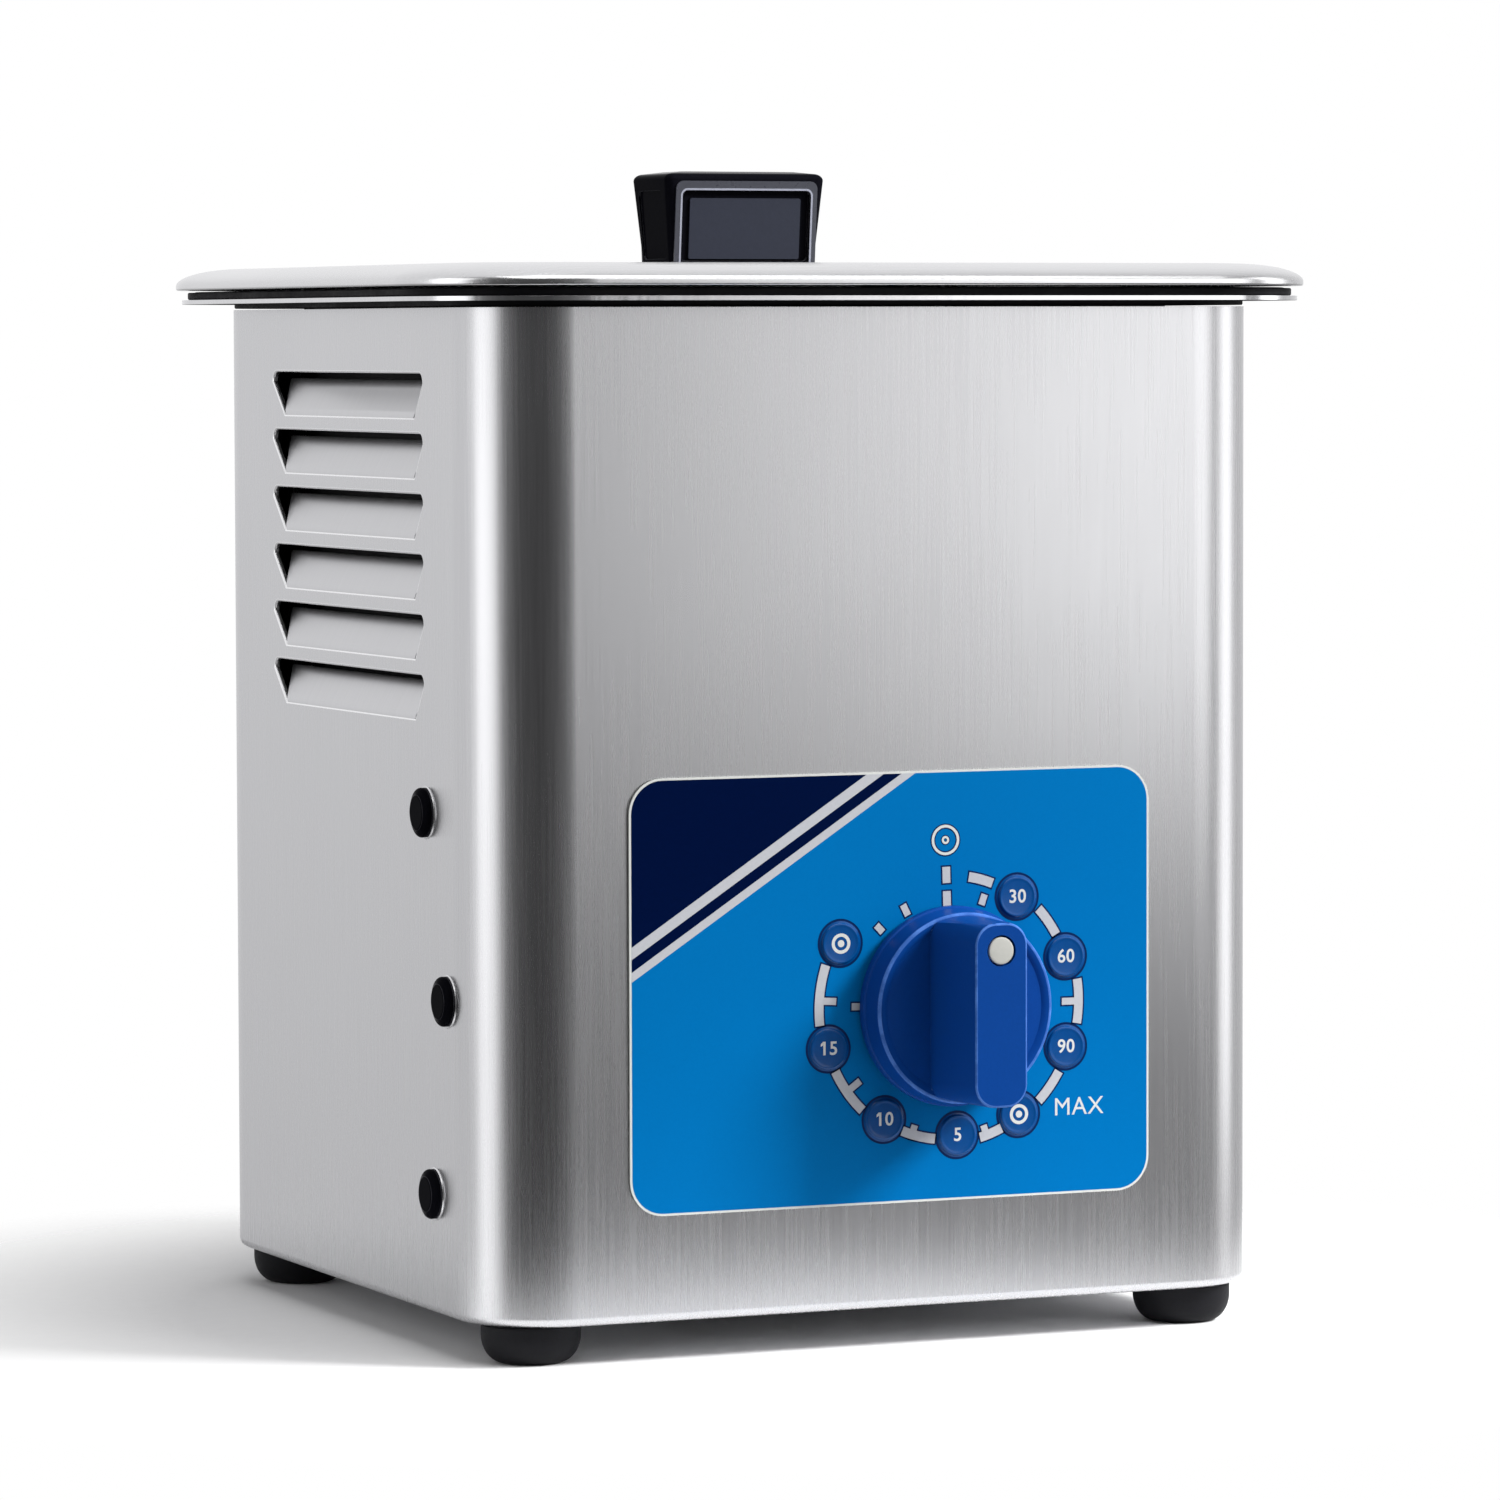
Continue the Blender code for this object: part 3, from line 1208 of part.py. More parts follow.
def make_fuse_drawer(flange_high):
    """A drawer with a pull lip outside the flange, carrying the cartridge fuse."""
    drawer_high = flange_high + GAP
    overlap = 0.2 * MM
    body = box_mesh("fuse_drawer", DRAWER_SIZE, (0, 0, drawer_high - DRAWER_SIZE[2] / 2 + overlap))
    drawer = place("fuse_drawer", body, "black_plastic", (0, DRAWER_DROP, 0), parent=INLET_FRAME)
    lip = box_mesh("drawer_lip", DRAWER_LIP, (0, 0, drawer_high + DRAWER_LIP[2] / 2))
    combine(drawer, place_tool("drawer_lip", lip, (0, DRAWER_DROP, 0), parent=INLET_FRAME), "UNION")
    fuse_radius, fuse_length = FUSE_SIZE
    fuse_z = drawer_high - 8 * MM
    tray_floor = 1.0 * MM
    bm = bmesh.new()
    pocket = (fuse_length + 2 * GAP, DRAWER_SIZE[1], 2 * fuse_radius + 2 * GAP)
    add_box(bm, pocket, (0, tray_floor, fuse_z))
    pocket_tool = place_tool(
        "fuse_pocket", finish_mesh("fuse_pocket", bm), (0, DRAWER_DROP, 0), parent=INLET_FRAME
    )
    combine(drawer, pocket_tool, "DIFFERENCE")
    fuse = cylinder_mesh("fuse_cartridge", fuse_radius, -fuse_length / 2, fuse_length / 2, sides=16)
    fuse_height = DRAWER_DROP - DRAWER_SIZE[1] / 2 + tray_floor + GAP + fuse_radius
    rotation = (0, math.radians(90), 0)
    place("fuse_cartridge", fuse, "fuse_glass", (0, fuse_height, fuse_z), rotation, INLET_FRAME)


# Wires from the board to the transducer


def make_wires():
    """Two leads that rise from the board to the solder tabs."""
    radius = 0.9 * MM
    start_z = BOARD_TOP + GAP + radius
    tab_x = STACK_RADIUS + 5 * MM
    hot_z = 66 * MM
    ground_z = 59 * MM
    routes = {
        "transducer_lead_hot": (
            "red_wire",
            [(8 * MM, 8 * MM, start_z), (12 * MM, 5 * MM, start_z + 6 * MM),
             (24 * MM, 3 * MM, 36 * MM), (tab_x + 3 * MM, 1 * MM, 54 * MM), (tab_x, 0, hot_z)],
        ),
        "transducer_lead_ground": (
            "black_wire",
            [(-8 * MM, 6 * MM, start_z), (-12 * MM, 4 * MM, start_z + 6 * MM),
             (-24 * MM, 2 * MM, 34 * MM), (-tab_x - 3 * MM, 1 * MM, 48 * MM), (-tab_x, 0, ground_z)],
        ),
    }
    for name, (material, points) in routes.items():
        place(name, tube_mesh(name, points, radius), material)


make_cabinet()
make_base_plate()
make_feet()
make_side_plugs()
make_tank()
make_gasket()
make_lid()
make_panel()
make_knob()
make_timer()
make_transducer()
make_board()
make_inlet()
make_wires()
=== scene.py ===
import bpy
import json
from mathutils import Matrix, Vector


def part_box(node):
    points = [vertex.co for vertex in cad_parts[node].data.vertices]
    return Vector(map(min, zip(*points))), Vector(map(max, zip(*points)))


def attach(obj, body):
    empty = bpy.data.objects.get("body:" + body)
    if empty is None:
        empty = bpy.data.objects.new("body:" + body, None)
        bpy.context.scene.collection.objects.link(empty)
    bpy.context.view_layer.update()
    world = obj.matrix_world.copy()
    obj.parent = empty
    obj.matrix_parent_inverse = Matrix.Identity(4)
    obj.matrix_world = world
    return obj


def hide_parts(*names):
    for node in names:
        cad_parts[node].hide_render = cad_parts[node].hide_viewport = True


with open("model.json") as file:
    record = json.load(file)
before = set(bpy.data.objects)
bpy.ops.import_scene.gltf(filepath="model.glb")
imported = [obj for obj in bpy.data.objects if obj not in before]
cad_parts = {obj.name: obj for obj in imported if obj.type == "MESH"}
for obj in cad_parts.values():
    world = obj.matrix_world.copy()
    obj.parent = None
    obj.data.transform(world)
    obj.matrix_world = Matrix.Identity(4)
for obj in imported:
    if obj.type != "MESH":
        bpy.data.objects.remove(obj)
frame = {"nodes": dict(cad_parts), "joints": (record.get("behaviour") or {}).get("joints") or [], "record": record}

"""The looks of a bench-top ultrasonic cleaner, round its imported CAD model. Metres, +Z up."""

import json
import math

import bmesh
import bpy
from mathutils import Matrix, Vector

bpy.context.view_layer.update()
MM = 0.001
TURN = 2 * math.pi

# The cabinet's box gives the frame that everything else is placed in.
CABINET_LOW, CABINET_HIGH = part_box("cabinet")
CENTRE = Vector(((CABINET_LOW.x + CABINET_HIGH.x) / 2, (CABINET_LOW.y + CABINET_HIGH.y) / 2, 0))
WIDTH = CABINET_HIGH.x - CABINET_LOW.x
DEPTH = CABINET_HIGH.y - CABINET_LOW.y
BOTTOM = CABINET_LOW.z
TOP = CABINET_HIGH.z
FRONT = CABINET_LOW.y
BACK = CABINET_HIGH.y
LEFT = CABINET_LOW.x
CORNER = 18.5 * MM
SHEET = 1.0 * MM
GAP = 0.3 * MM

JOINTS = {joint["name"]: joint for joint in frame["joints"]}
TIMER_POINT = Vector(JOINTS["timer_turn"]["pos_m"])

# Rotations that turn a piece made facing +Z towards a side of the cabinet
FACING_FRONT = Matrix.Rotation(math.radians(90), 4, "X")
FACING_LEFT = Matrix.Rotation(math.radians(-90), 4, "Z") @ FACING_FRONT
FACING_RIGHT = Matrix.Rotation(math.radians(90), 4, "Z") @ FACING_FRONT
FACING_BACK = Matrix.Rotation(math.radians(180), 4, "Z") @ FACING_FRONT
FLAT = Matrix.Identity(4)

CORNER_STEPS = 20
ROUND_SIDES = 96


# Materials

MATERIALS = {}


def link_noise(tree, scale, stretch, detail, roughness=0.5, offset=(0, 0, 0)):
    """Noise in the object's own metres, stretched along an axis by a small factor there."""
    nodes, links = tree.nodes, tree.links
    coordinates = nodes.new("ShaderNodeTexCoord")
    mapping = nodes.new("ShaderNodeMapping")
    mapping.inputs["Scale"].default_value = stretch
    mapping.inputs["Location"].default_value = offset
    noise = nodes.new("ShaderNodeTexNoise")
    noise.inputs["Scale"].default_value = scale
    noise.inputs["Detail"].default_value = detail
    noise.inputs["Roughness"].default_value = roughness
    links.new(coordinates.outputs["Object"], mapping.inputs["Vector"])
    links.new(mapping.outputs["Vector"], noise.inputs["Vector"])
    return noise


def link_range(tree, source, low, high, source_low=0.3, source_high=0.7):
    """Maps a value, by default a noise's middle range, to another range."""
    mapped = tree.nodes.new("ShaderNodeMapRange")
    mapped.inputs["From Min"].default_value = source_low
    mapped.inputs["From Max"].default_value = source_high
    mapped.inputs["To Min"].default_value = low
    mapped.inputs["To Max"].default_value = high
    tree.links.new(source, mapped.inputs["Value"])
    return mapped.outputs["Result"]


def link_math(tree, operation, *values):
    """Joins two value sockets in one."""
    node = tree.nodes.new("ShaderNodeMath")
    node.operation = operation
    for value, socket in zip(values, node.inputs):
        tree.links.new(value, socket)
    return node.outputs["Value"]


def link_mix(tree, factor, colour_a, colour_b):
    """Mixes two colours, each a tuple or a socket, by a factor socket."""
    mix = tree.nodes.new("ShaderNodeMix")
    mix.data_type = "RGBA"
    tree.links.new(factor, mix.inputs["Factor"])
    for name, colour in (("A", colour_a), ("B", colour_b)):
        socket = next(s for s in mix.inputs if s.name == name and s.type == "RGBA")
        if isinstance(colour, tuple):
            socket.default_value = (*colour, 1.0)
        else:
            tree.links.new(colour, socket)
    return next(s for s in mix.outputs if s.type == "RGBA")


def surface(name, colour, metallic, roughness, grain, stretch, roughness_spread, bump, bump_depth,
            colour_spread, patches=18.0, edge_wear_and_highlight=0.0, edge_wear_and_highlight_colour=None, coat=0.0, anisotropic=0.0,
            specular=0.5, ior=1.5):
    """A material with fine grain, broad patches of rougher and smoother finish and, on marked edges, a lighter
    edge colour: scuffed paint on some materials, a painted highlight on others.

    The grain is in cycles a metre, before its stretch, and the bump's depth in millimetres.
    """
    material = bpy.data.materials.new(name)
    material.use_nodes = True
    tree = material.node_tree
    shader = tree.nodes["Principled BSDF"]
    shader.inputs["Metallic"].default_value = metallic
    shader.inputs["Specular IOR Level"].default_value = specular
    shader.inputs["Coat Weight"].default_value = coat
    shader.inputs["Coat Roughness"].default_value = 0.12
    shader.inputs["IOR"].default_value = ior
    shader.inputs["Anisotropic"].default_value = anisotropic
    fine = link_noise(tree, grain, stretch, 4.0)
    broad = link_noise(tree, patches, (1, 1, 1), 3.0, offset=(1.7, 0.3, 2.1))
    darker = tuple(channel * (1 - colour_spread) for channel in colour)
    lighter = tuple(min(1.0, channel * (1 + colour_spread)) for channel in colour)
    tint = link_mix(tree, link_range(tree, fine.outputs["Fac"], 0, 1), darker, lighter)
    rough_fine = link_range(
        tree, fine.outputs["Fac"], roughness - roughness_spread / 2, roughness + roughness_spread / 2
    )
    rough_broad = link_range(tree, broad.outputs["Fac"], -roughness_spread / 2, roughness_spread / 2)
    rough = link_math(tree, "ADD", rough_fine, rough_broad)
    # Marked edges take the edge colour over noise: scuffed paint on the black plastic and satin parts, a painted
    # highlight on the knob and the handle's band.
    if edge_wear_and_highlight:
        edges = tree.nodes.new("ShaderNodeAttribute")
        edges.attribute_name = "edge"
        scuff_and_glint_noise = link_noise(tree, 260.0, (1, 1, 1), 5.0, 0.65, (0.4, 4.2, 0.9))
        scuff_and_glint_amount = link_range(tree, scuff_and_glint_noise.outputs["Fac"], edge_wear_and_highlight / 2, edge_wear_and_highlight, 0.42, 0.62)
        scuffed_and_glinting_edges = link_math(tree, "MULTIPLY", edges.outputs["Fac"], scuff_and_glint_amount)
        tint = link_mix(tree, scuffed_and_glinting_edges, tint, edge_wear_and_highlight_colour)
    tree.links.new(tint, shader.inputs["Base Color"])
    tree.links.new(rough, shader.inputs["Roughness"])
    relief = tree.nodes.new("ShaderNodeBump")
    relief.inputs["Strength"].default_value = bump
    relief.inputs["Distance"].default_value = bump_depth * MM
    tree.links.new(fine.outputs["Fac"], relief.inputs["Height"])
    tree.links.new(relief.outputs["Normal"], shader.inputs["Normal"])
    if anisotropic:
        tangent = tree.nodes.new("ShaderNodeTangent")
        tangent.direction_type = "RADIAL"
        tangent.axis = "Z"
        tree.links.new(tangent.outputs["Tangent"], shader.inputs["Tangent"])
    MATERIALS[name] = material


EVEN = (1, 1, 1)
VERTICAL_GRAIN = (1, 1, 0.012)
SIDE_GRAIN = (0.012, 1, 0.012)
CROSS_GRAIN = (0.02, 1, 1)
surface("brushed_steel", (0.62, 0.62, 0.635), 1.0, 0.27, 2600.0, VERTICAL_GRAIN, 0.045, 0.05, 0.008, 0.03,
        9.0, anisotropic=0.5)
surface("brushed_flap", (0.60, 0.60, 0.615), 1.0, 0.30, 2600.0, SIDE_GRAIN, 0.03, 0.03, 0.006, 0.03, 9.0)
# Near-white steel for the louvre slots' cut faces: a painted highlight round each slot.
surface("slot_edge_highlight", (0.93, 0.93, 0.94), 1.0, 0.30, 1500.0, EVEN, 0.08, 0.06, 0.01, 0.04)
# Lighter, smoother steel for the plugs' collars: a painted highlight for their bright rings.
surface("collar_highlight_steel", (0.72, 0.72, 0.735), 1.0, 0.22, 1500.0, EVEN, 0.10, 0.10, 0.01, 0.04)
surface("polished_steel", (0.70, 0.70, 0.71), 1.0, 0.26, 1600.0, CROSS_GRAIN, 0.05, 0.04, 0.008, 0.03, 14.0)
surface("drawn_steel", (0.68, 0.68, 0.695), 1.0, 0.20, 900.0, (1, 1, 0.08), 0.10, 0.06, 0.01, 0.04, 25.0)
surface("damping_coat", (0.030, 0.030, 0.033), 0.0, 0.70, 500.0, EVEN, 0.14, 0.50, 0.08, 0.20, 40.0)
surface("zinc_plate", (0.56, 0.57, 0.59), 1.0, 0.36, 700.0, EVEN, 0.14, 0.12, 0.01, 0.08, 60.0)
surface("black_rubber", (0.009, 0.009, 0.011), 0.0, 0.62, 1400.0, EVEN, 0.16, 0.35, 0.05, 0.20, 60.0,
        specular=0.3, ior=1.3)
surface("black_plastic", (0.004, 0.004, 0.006), 0.0, 0.16, 1800.0, EVEN, 0.05, 0.04, 0.004, 0.15, 40.0,
        edge_wear_and_highlight=0.5, edge_wear_and_highlight_colour=(0.14, 0.14, 0.16), specular=0.05, ior=1.1)
surface("black_satin", (0.016, 0.016, 0.019), 0.0, 0.36, 1500.0, EVEN, 0.12, 0.25, 0.03, 0.20, 50.0,
        edge_wear_and_highlight=0.35, edge_wear_and_highlight_colour=(0.06, 0.06, 0.065))
surface("handle_inset", (0.020, 0.023, 0.036), 0.0, 0.34, 1300.0, EVEN, 0.06, 0.08, 0.01, 0.05, 40.0,
        ior=1.3)
# On the handle's band, the pale edge colour is a painted highlight along its bevelled edges.
surface("handle_band", (0.032, 0.034, 0.046), 0.0, 0.30, 1300.0, EVEN, 0.08, 0.10, 0.01, 0.06, 40.0,
        edge_wear_and_highlight=1.0, edge_wear_and_highlight_colour=(0.40, 0.41, 0.50))
# A pale strip inside the handle's arch: a painted highlight.
surface("handle_highlight_strip", (0.26, 0.27, 0.33), 0.0, 0.22, 1300.0, EVEN, 0.06, 0.05, 0.01, 0.06, 40.0)
# On the knob's marked edges the lighter blue is a painted highlight, for the light streaks along its facets.
surface("blue_plastic", (0.003, 0.046, 0.240), 0.0, 0.36, 1500.0, EVEN, 0.05, 0.05, 0.008, 0.03, 50.0,
        edge_wear_and_highlight=0.85, edge_wear_and_highlight_colour=(0.09, 0.22, 0.62), specular=0.12, ior=1.35)
surface("overlay_blue", (0.0, 0.134, 0.385), 0.0, 0.42, 1900.0, EVEN, 0.05, 0.10, 0.006, 0.02, 12.0,
        specular=0.06, ior=1.3)
surface("overlay_dot", (0.0, 0.052, 0.205), 0.0, 0.20, 1200.0, EVEN, 0.05, 0.05, 0.006, 0.04, 40.0,
        specular=0.3)
surface("overlay_outline", (0.0, 0.014, 0.075), 0.0, 0.40, 1200.0, EVEN, 0.05, 0.08, 0.006, 0.04,
        specular=0.12)
surface("overlay_navy", (0.0, 0.004, 0.032), 0.0, 0.42, 1900.0, EVEN, 0.05, 0.10, 0.006, 0.05,
        specular=0.05, ior=1.3)
surface("overlay_silver", (0.44, 0.45, 0.48), 0.0, 0.38, 1900.0, EVEN, 0.06, 0.12, 0.01, 0.03)
surface("overlay_cream", (0.58, 0.59, 0.57), 0.0, 0.40, 1900.0, EVEN, 0.06, 0.12, 0.01, 0.02)
surface("cream_plastic", (0.45, 0.45, 0.42), 0.0, 0.34, 900.0, EVEN, 0.08, 0.08, 0.01, 0.03)
surface("aluminium", (0.70, 0.71, 0.73), 1.0, 0.32, 1200.0, (1, 1, 14), 0.12, 0.25, 0.02, 0.05)
surface("brass", (0.74, 0.53, 0.23), 1.0, 0.24, 900.0, EVEN, 0.14, 0.10, 0.01, 0.08, 80.0)
surface("ceramic", (0.27, 0.24, 0.21), 0.0, 0.58, 1300.0, EVEN, 0.12, 0.30, 0.03, 0.12)
surface("board_green", (0.016, 0.150, 0.055), 0.0, 0.32, 500.0, EVEN, 0.12, 0.20, 0.02, 0.18, 120.0,
        coat=0.4)
surface("lamination_steel", (0.16, 0.16, 0.18), 1.0, 0.48, 1300.0, (1, 14, 1), 0.20, 0.40, 0.06, 0.25)
surface("winding_tape", (0.66, 0.48, 0.06), 0.0, 0.42, 500.0, (1, 1, 10), 0.12, 0.30, 0.05, 0.10, coat=0.2)
surface("capacitor_sleeve", (0.025, 0.045, 0.130), 0.0, 0.26, 700.0, EVEN, 0.08, 0.08, 0.02, 0.10)
surface("fuse_glass", (0.72, 0.78, 0.78), 0.0, 0.08, 700.0, EVEN, 0.04, 0.03, 0.01, 0.04, coat=0.6)
surface("red_wire", (0.42, 0.018, 0.018), 0.0, 0.40, 900.0, EVEN, 0.10, 0.10, 0.02, 0.08)
surface("black_wire", (0.018, 0.018, 0.018), 0.0, 0.40, 900.0, EVEN, 0.10, 0.10, 0.02, 0.10)


# Building pieces


def finish_mesh(name, bm):
    """The bmesh as a mesh of its own."""
    mesh = bpy.data.meshes.new(name)
    bm.to_mesh(mesh)
    bm.free()
    return mesh


def add_object(name, mesh, matrix=FLAT, material=None):
    """An object in the scene, with its material if the mesh has none yet."""
    obj = bpy.data.objects.new(name, mesh)
    bpy.context.scene.collection.objects.link(obj)
    obj.matrix_world = matrix
    if material and not mesh.materials:
        mesh.materials.append(MATERIALS[material])
    return obj


def apply_modifiers(obj):
    """Puts the evaluated shape in the object's mesh, and removes its modifiers."""
    bpy.context.view_layer.update()
    evaluated = obj.evaluated_get(bpy.context.evaluated_depsgraph_get())
    mesh = bpy.data.meshes.new_from_object(evaluated)
    obj.modifiers.clear()
    old = obj.data
    obj.data = mesh
    mesh.name = obj.name
    if old.users == 0:
        bpy.data.meshes.remove(old)
    return obj


def mark_edges(mesh, width=0.28 * MM, angle=math.radians(14)):
    """Marks narrow faces beside a bend: where an edge is scuffed, and where some materials paint an edge
    highlight.
    """
    bm = bmesh.new()
    bm.from_mesh(mesh)
    values = []
    for face in bm.faces:
        longest = max(face.edges, key=lambda edge: edge.calc_length())
        narrow = face.calc_area() / longest.calc_length() < width
        bends = len(longest.link_faces) == 2 and longest.calc_face_angle(0) > angle
        values.append(1.0 if narrow and bends else 0.0)
    bm.free()
    attribute = mesh.attributes.new("edge", "FLOAT", "FACE")
    attribute.data.foreach_set("value", values)


def finish_piece(obj, body, replaces=(), sharp=40, weighted=True):
    """Applies the shape, sets its shading, and hands the piece to the frame."""
    if weighted:
        normals = obj.modifiers.new("weighted_normals", "WEIGHTED_NORMAL")
        normals.keep_sharp = True
        normals.weight = 80
    obj.data.shade_smooth()
    obj.data.set_sharp_from_angle(angle=math.radians(sharp))
    apply_modifiers(obj)
    mark_edges(obj.data)
    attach(obj, body)
    if replaces:
        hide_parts(*replaces)


def add_piece(name, mesh, matrix, look, body, replaces=(), sharp=40, weighted=True):
    """A piece that needs no cutting or rounding."""
    finish_piece(add_object(name, mesh, matrix, look), body, replaces, sharp, weighted)


def boolean(obj, tool, operation="DIFFERENCE"):
    """Cuts or joins at once, and removes the tool, whose material goes on the faces it leaves."""
    modifier = obj.modifiers.new("boolean", "BOOLEAN")
    modifier.operation = operation
    modifier.solver = "EXACT"
    modifier.material_mode = "TRANSFER"
    modifier.object = tool
    apply_modifiers(obj)
    bpy.data.objects.remove(tool, do_unlink=True)


def cut(obj, mesh, place):
    """Cuts a mesh, placed by its matrix, out of a piece."""
    boolean(obj, add_object("cutter", mesh, place))


def bevel(obj, width, segments, angle):
    """Rounds the edges that bend by more than an angle in degrees."""
    modifier = obj.modifiers.new("bevel", "BEVEL")
    modifier.width = width
    modifier.segments = segments
    modifier.limit_method = "ANGLE"
    modifier.angle_limit = math.radians(angle)
    modifier.use_clamp_overlap = True
    apply_modifiers(obj)


def solidify(obj, thickness, back_material=None):
    """Gives a surface its thickness, and its back another material if it has one."""
    modifier = obj.modifiers.new("sheet", "SOLIDIFY")
    if back_material:
        obj.data.materials.append(MATERIALS[back_material])
        modifier.material_offset = 1
    modifier.thickness = thickness
    modifier.offset = -1
    modifier.use_even_offset = True
    apply_modifiers(obj)


def rounded_rectangle(width, depth, radius, steps=CORNER_STEPS, centre=(0, 0)):
    """Points round a rounded rectangle, anticlockwise."""
    points = []
    for side_x, side_y, start in ((1, 1, 0), (-1, 1, 90), (-1, -1, 180), (1, -1, 270)):
        corner = (centre[0] + side_x * (width / 2 - radius), centre[1] + side_y * (depth / 2 - radius))
        points += arc(corner, radius, start, start + 90, steps)
    return points


def level_ring(width, depth, radius, height, steps=CORNER_STEPS):
    """A rounded rectangle at a height."""
    return [(x, y, height) for x, y in rounded_rectangle(width, depth, radius, steps)]


def inset_rings(width, depth, radius, path, steps=CORNER_STEPS):
    """Rounded rectangles, each shrunk by an inset at a height: the path's (inset, height) pairs."""
    return [level_ring(width - 2 * inset, depth - 2 * inset, radius - inset, height, steps)
            for inset, height in path]


def bend(start, end, steps, upright):
    """A quarter round between two points of a profile, which leaves the first one upright or level."""
    points = []
    for step in range(steps + 1):
        angle = math.pi / 2 * step / steps
        shares = (1 - math.cos(angle), math.sin(angle))
        across, up = shares if upright else reversed(shares)
        points.append((start[0] + (end[0] - start[0]) * across, start[1] + (end[1] - start[1]) * up))
    return points


def circle(radius, centre=(0, 0), sides=48):
    """Points round a circle, anticlockwise."""
    angles = [TURN * index / sides for index in range(sides)]
    return [(centre[0] + radius * math.cos(a), centre[1] + radius * math.sin(a)) for a in angles]


def loft(name, rings, close_first=False, close_last=False):
    """Joins closed rings of equal length, each a list of (x, y, z) points."""
    bm = bmesh.new()
    rows = [[bm.verts.new(point) for point in ring] for ring in rings]
    count = len(rings[0])
    for row, following in zip(rows, rows[1:]):
        for index in range(count):
            after = (index + 1) % count
            bm.faces.new((row[index], row[after], following[after], following[index]))
    if close_first:
        bm.faces.new(list(reversed(rows[0])))
    if close_last:
        bm.faces.new(rows[-1])
    return finish_mesh(name, bm)


def lathe(name, profile, sides=ROUND_SIDES):
    """Turns a profile of (radius, height): its ends lie on the axis, or are joined round a hole."""
    bm = bmesh.new()
    rows = []
    for radius, height in profile:
        if radius < 1e-7:
            rows.append([bm.verts.new((0, 0, height))])
        else:
            rows.append([bm.verts.new((x, y, height)) for x, y in circle(radius, sides=sides)])
    for row, following in zip(rows, rows[1:]):
        for index in range(sides):
            after = (index + 1) % sides
            corners = [row[index % len(row)], row[after % len(row)],
                       following[after % len(following)], following[index % len(following)]]
            distinct = list(dict.fromkeys(corners))
            if len(distinct) > 2:
                bm.faces.new(distinct)
    if len(rows[0]) > 1 and len(rows[-1]) > 1:
        for index in range(sides):
            after = (index + 1) % sides
            bm.faces.new((rows[-1][index], rows[-1][after], rows[0][after], rows[0][index]))
    bmesh.ops.recalc_face_normals(bm, faces=bm.faces)
    return finish_mesh(name, bm)


def rod(radius, sides=24, low=-8 * MM, high=8 * MM):
    """A round cutter along Z, long enough for any sheet."""
    return lathe("rod", [(0, high), (radius, high), (radius, low), (0, low)], sides)


def arc(centre, radius, start, end, steps):
    """Points on an arc of a profile, angles in degrees from the +radius direction."""
    points = []
    for step in range(steps + 1):
        angle = math.radians(start + (end - start) * step / steps)
        points.append((centre[0] + radius * math.cos(angle), centre[1] + radius * math.sin(angle)))
    return points


def plate(name, outlines, low, high):
    """A flat plate between two heights: a filled 2D curve, extruded. Inner outlines are holes."""
    curve = bpy.data.curves.new(name, "CURVE")
    curve.dimensions = "2D"
    curve.fill_mode = "BOTH"
    curve.extrude = (high - low) / 2
    for outline in outlines:
        spline = curve.splines.new("POLY")
        spline.points.add(len(outline) - 1)
        for point, (x, y) in zip(spline.points, outline):
            point.co = (x, y, 0, 1)
        spline.use_cyclic_u = True
    return mesh_of_curve(name, curve, (low + high) / 2)


def mesh_of_curve(name, curve, lift):
    """A filled curve as one welded mesh, moved up by a lift."""
    carrier = bpy.data.objects.new(name + "_curve", curve)
    bpy.context.scene.collection.objects.link(carrier)
    bpy.context.view_layer.update()
    evaluated = carrier.evaluated_get(bpy.context.evaluated_depsgraph_get())
    mesh = bpy.data.meshes.new_from_object(evaluated)
    bpy.data.objects.remove(carrier, do_unlink=True)
    bm = bmesh.new()
    bm.from_mesh(mesh)
    bmesh.ops.remove_doubles(bm, verts=bm.verts, dist=1e-7)
    bmesh.ops.dissolve_degenerate(bm, edges=bm.edges, dist=1e-7)
    bmesh.ops.recalc_face_normals(bm, faces=bm.faces)
    bmesh.ops.translate(bm, verts=bm.verts, vec=(0, 0, lift))
    bm.to_mesh(mesh)
    bm.free()
    mesh.materials.clear()
    mesh.name = name
    return mesh


def box_mesh(name, size, centre=(0, 0, 0)):
    """A plain box."""
    bm = bmesh.new()
    matrix = Matrix.Translation(centre) @ Matrix.Diagonal((*size, 1))
    bmesh.ops.create_cube(bm, size=1, matrix=matrix)
    return finish_mesh(name, bm)


def join_meshes(name, meshes):
    """One mesh of several placed copies: pairs of a mesh and its matrix."""
    bm = bmesh.new()
    for mesh, matrix in meshes:
        before = len(bm.verts)
        bm.from_mesh(mesh)
        bm.verts.ensure_lookup_table()
        bmesh.ops.transform(bm, matrix=matrix, verts=bm.verts[before:])
    return finish_mesh(name, bm)


def outward(mesh):
    """Welds a mesh and turns its faces outwards."""
    bm = bmesh.new()
    bm.from_mesh(mesh)
    bmesh.ops.remove_doubles(bm, verts=bm.verts, dist=1e-7)
    bmesh.ops.recalc_face_normals(bm, faces=bm.faces)
    bm.to_mesh(mesh)
    bm.free()
    return mesh


def at(location, rotation=FLAT):
    """The matrix of a place, after a rotation."""
    return Matrix.Translation(location) @ rotation


CABINET_FRAME = at((CENTRE.x, CENTRE.y, BOTTOM))


# Cabinet

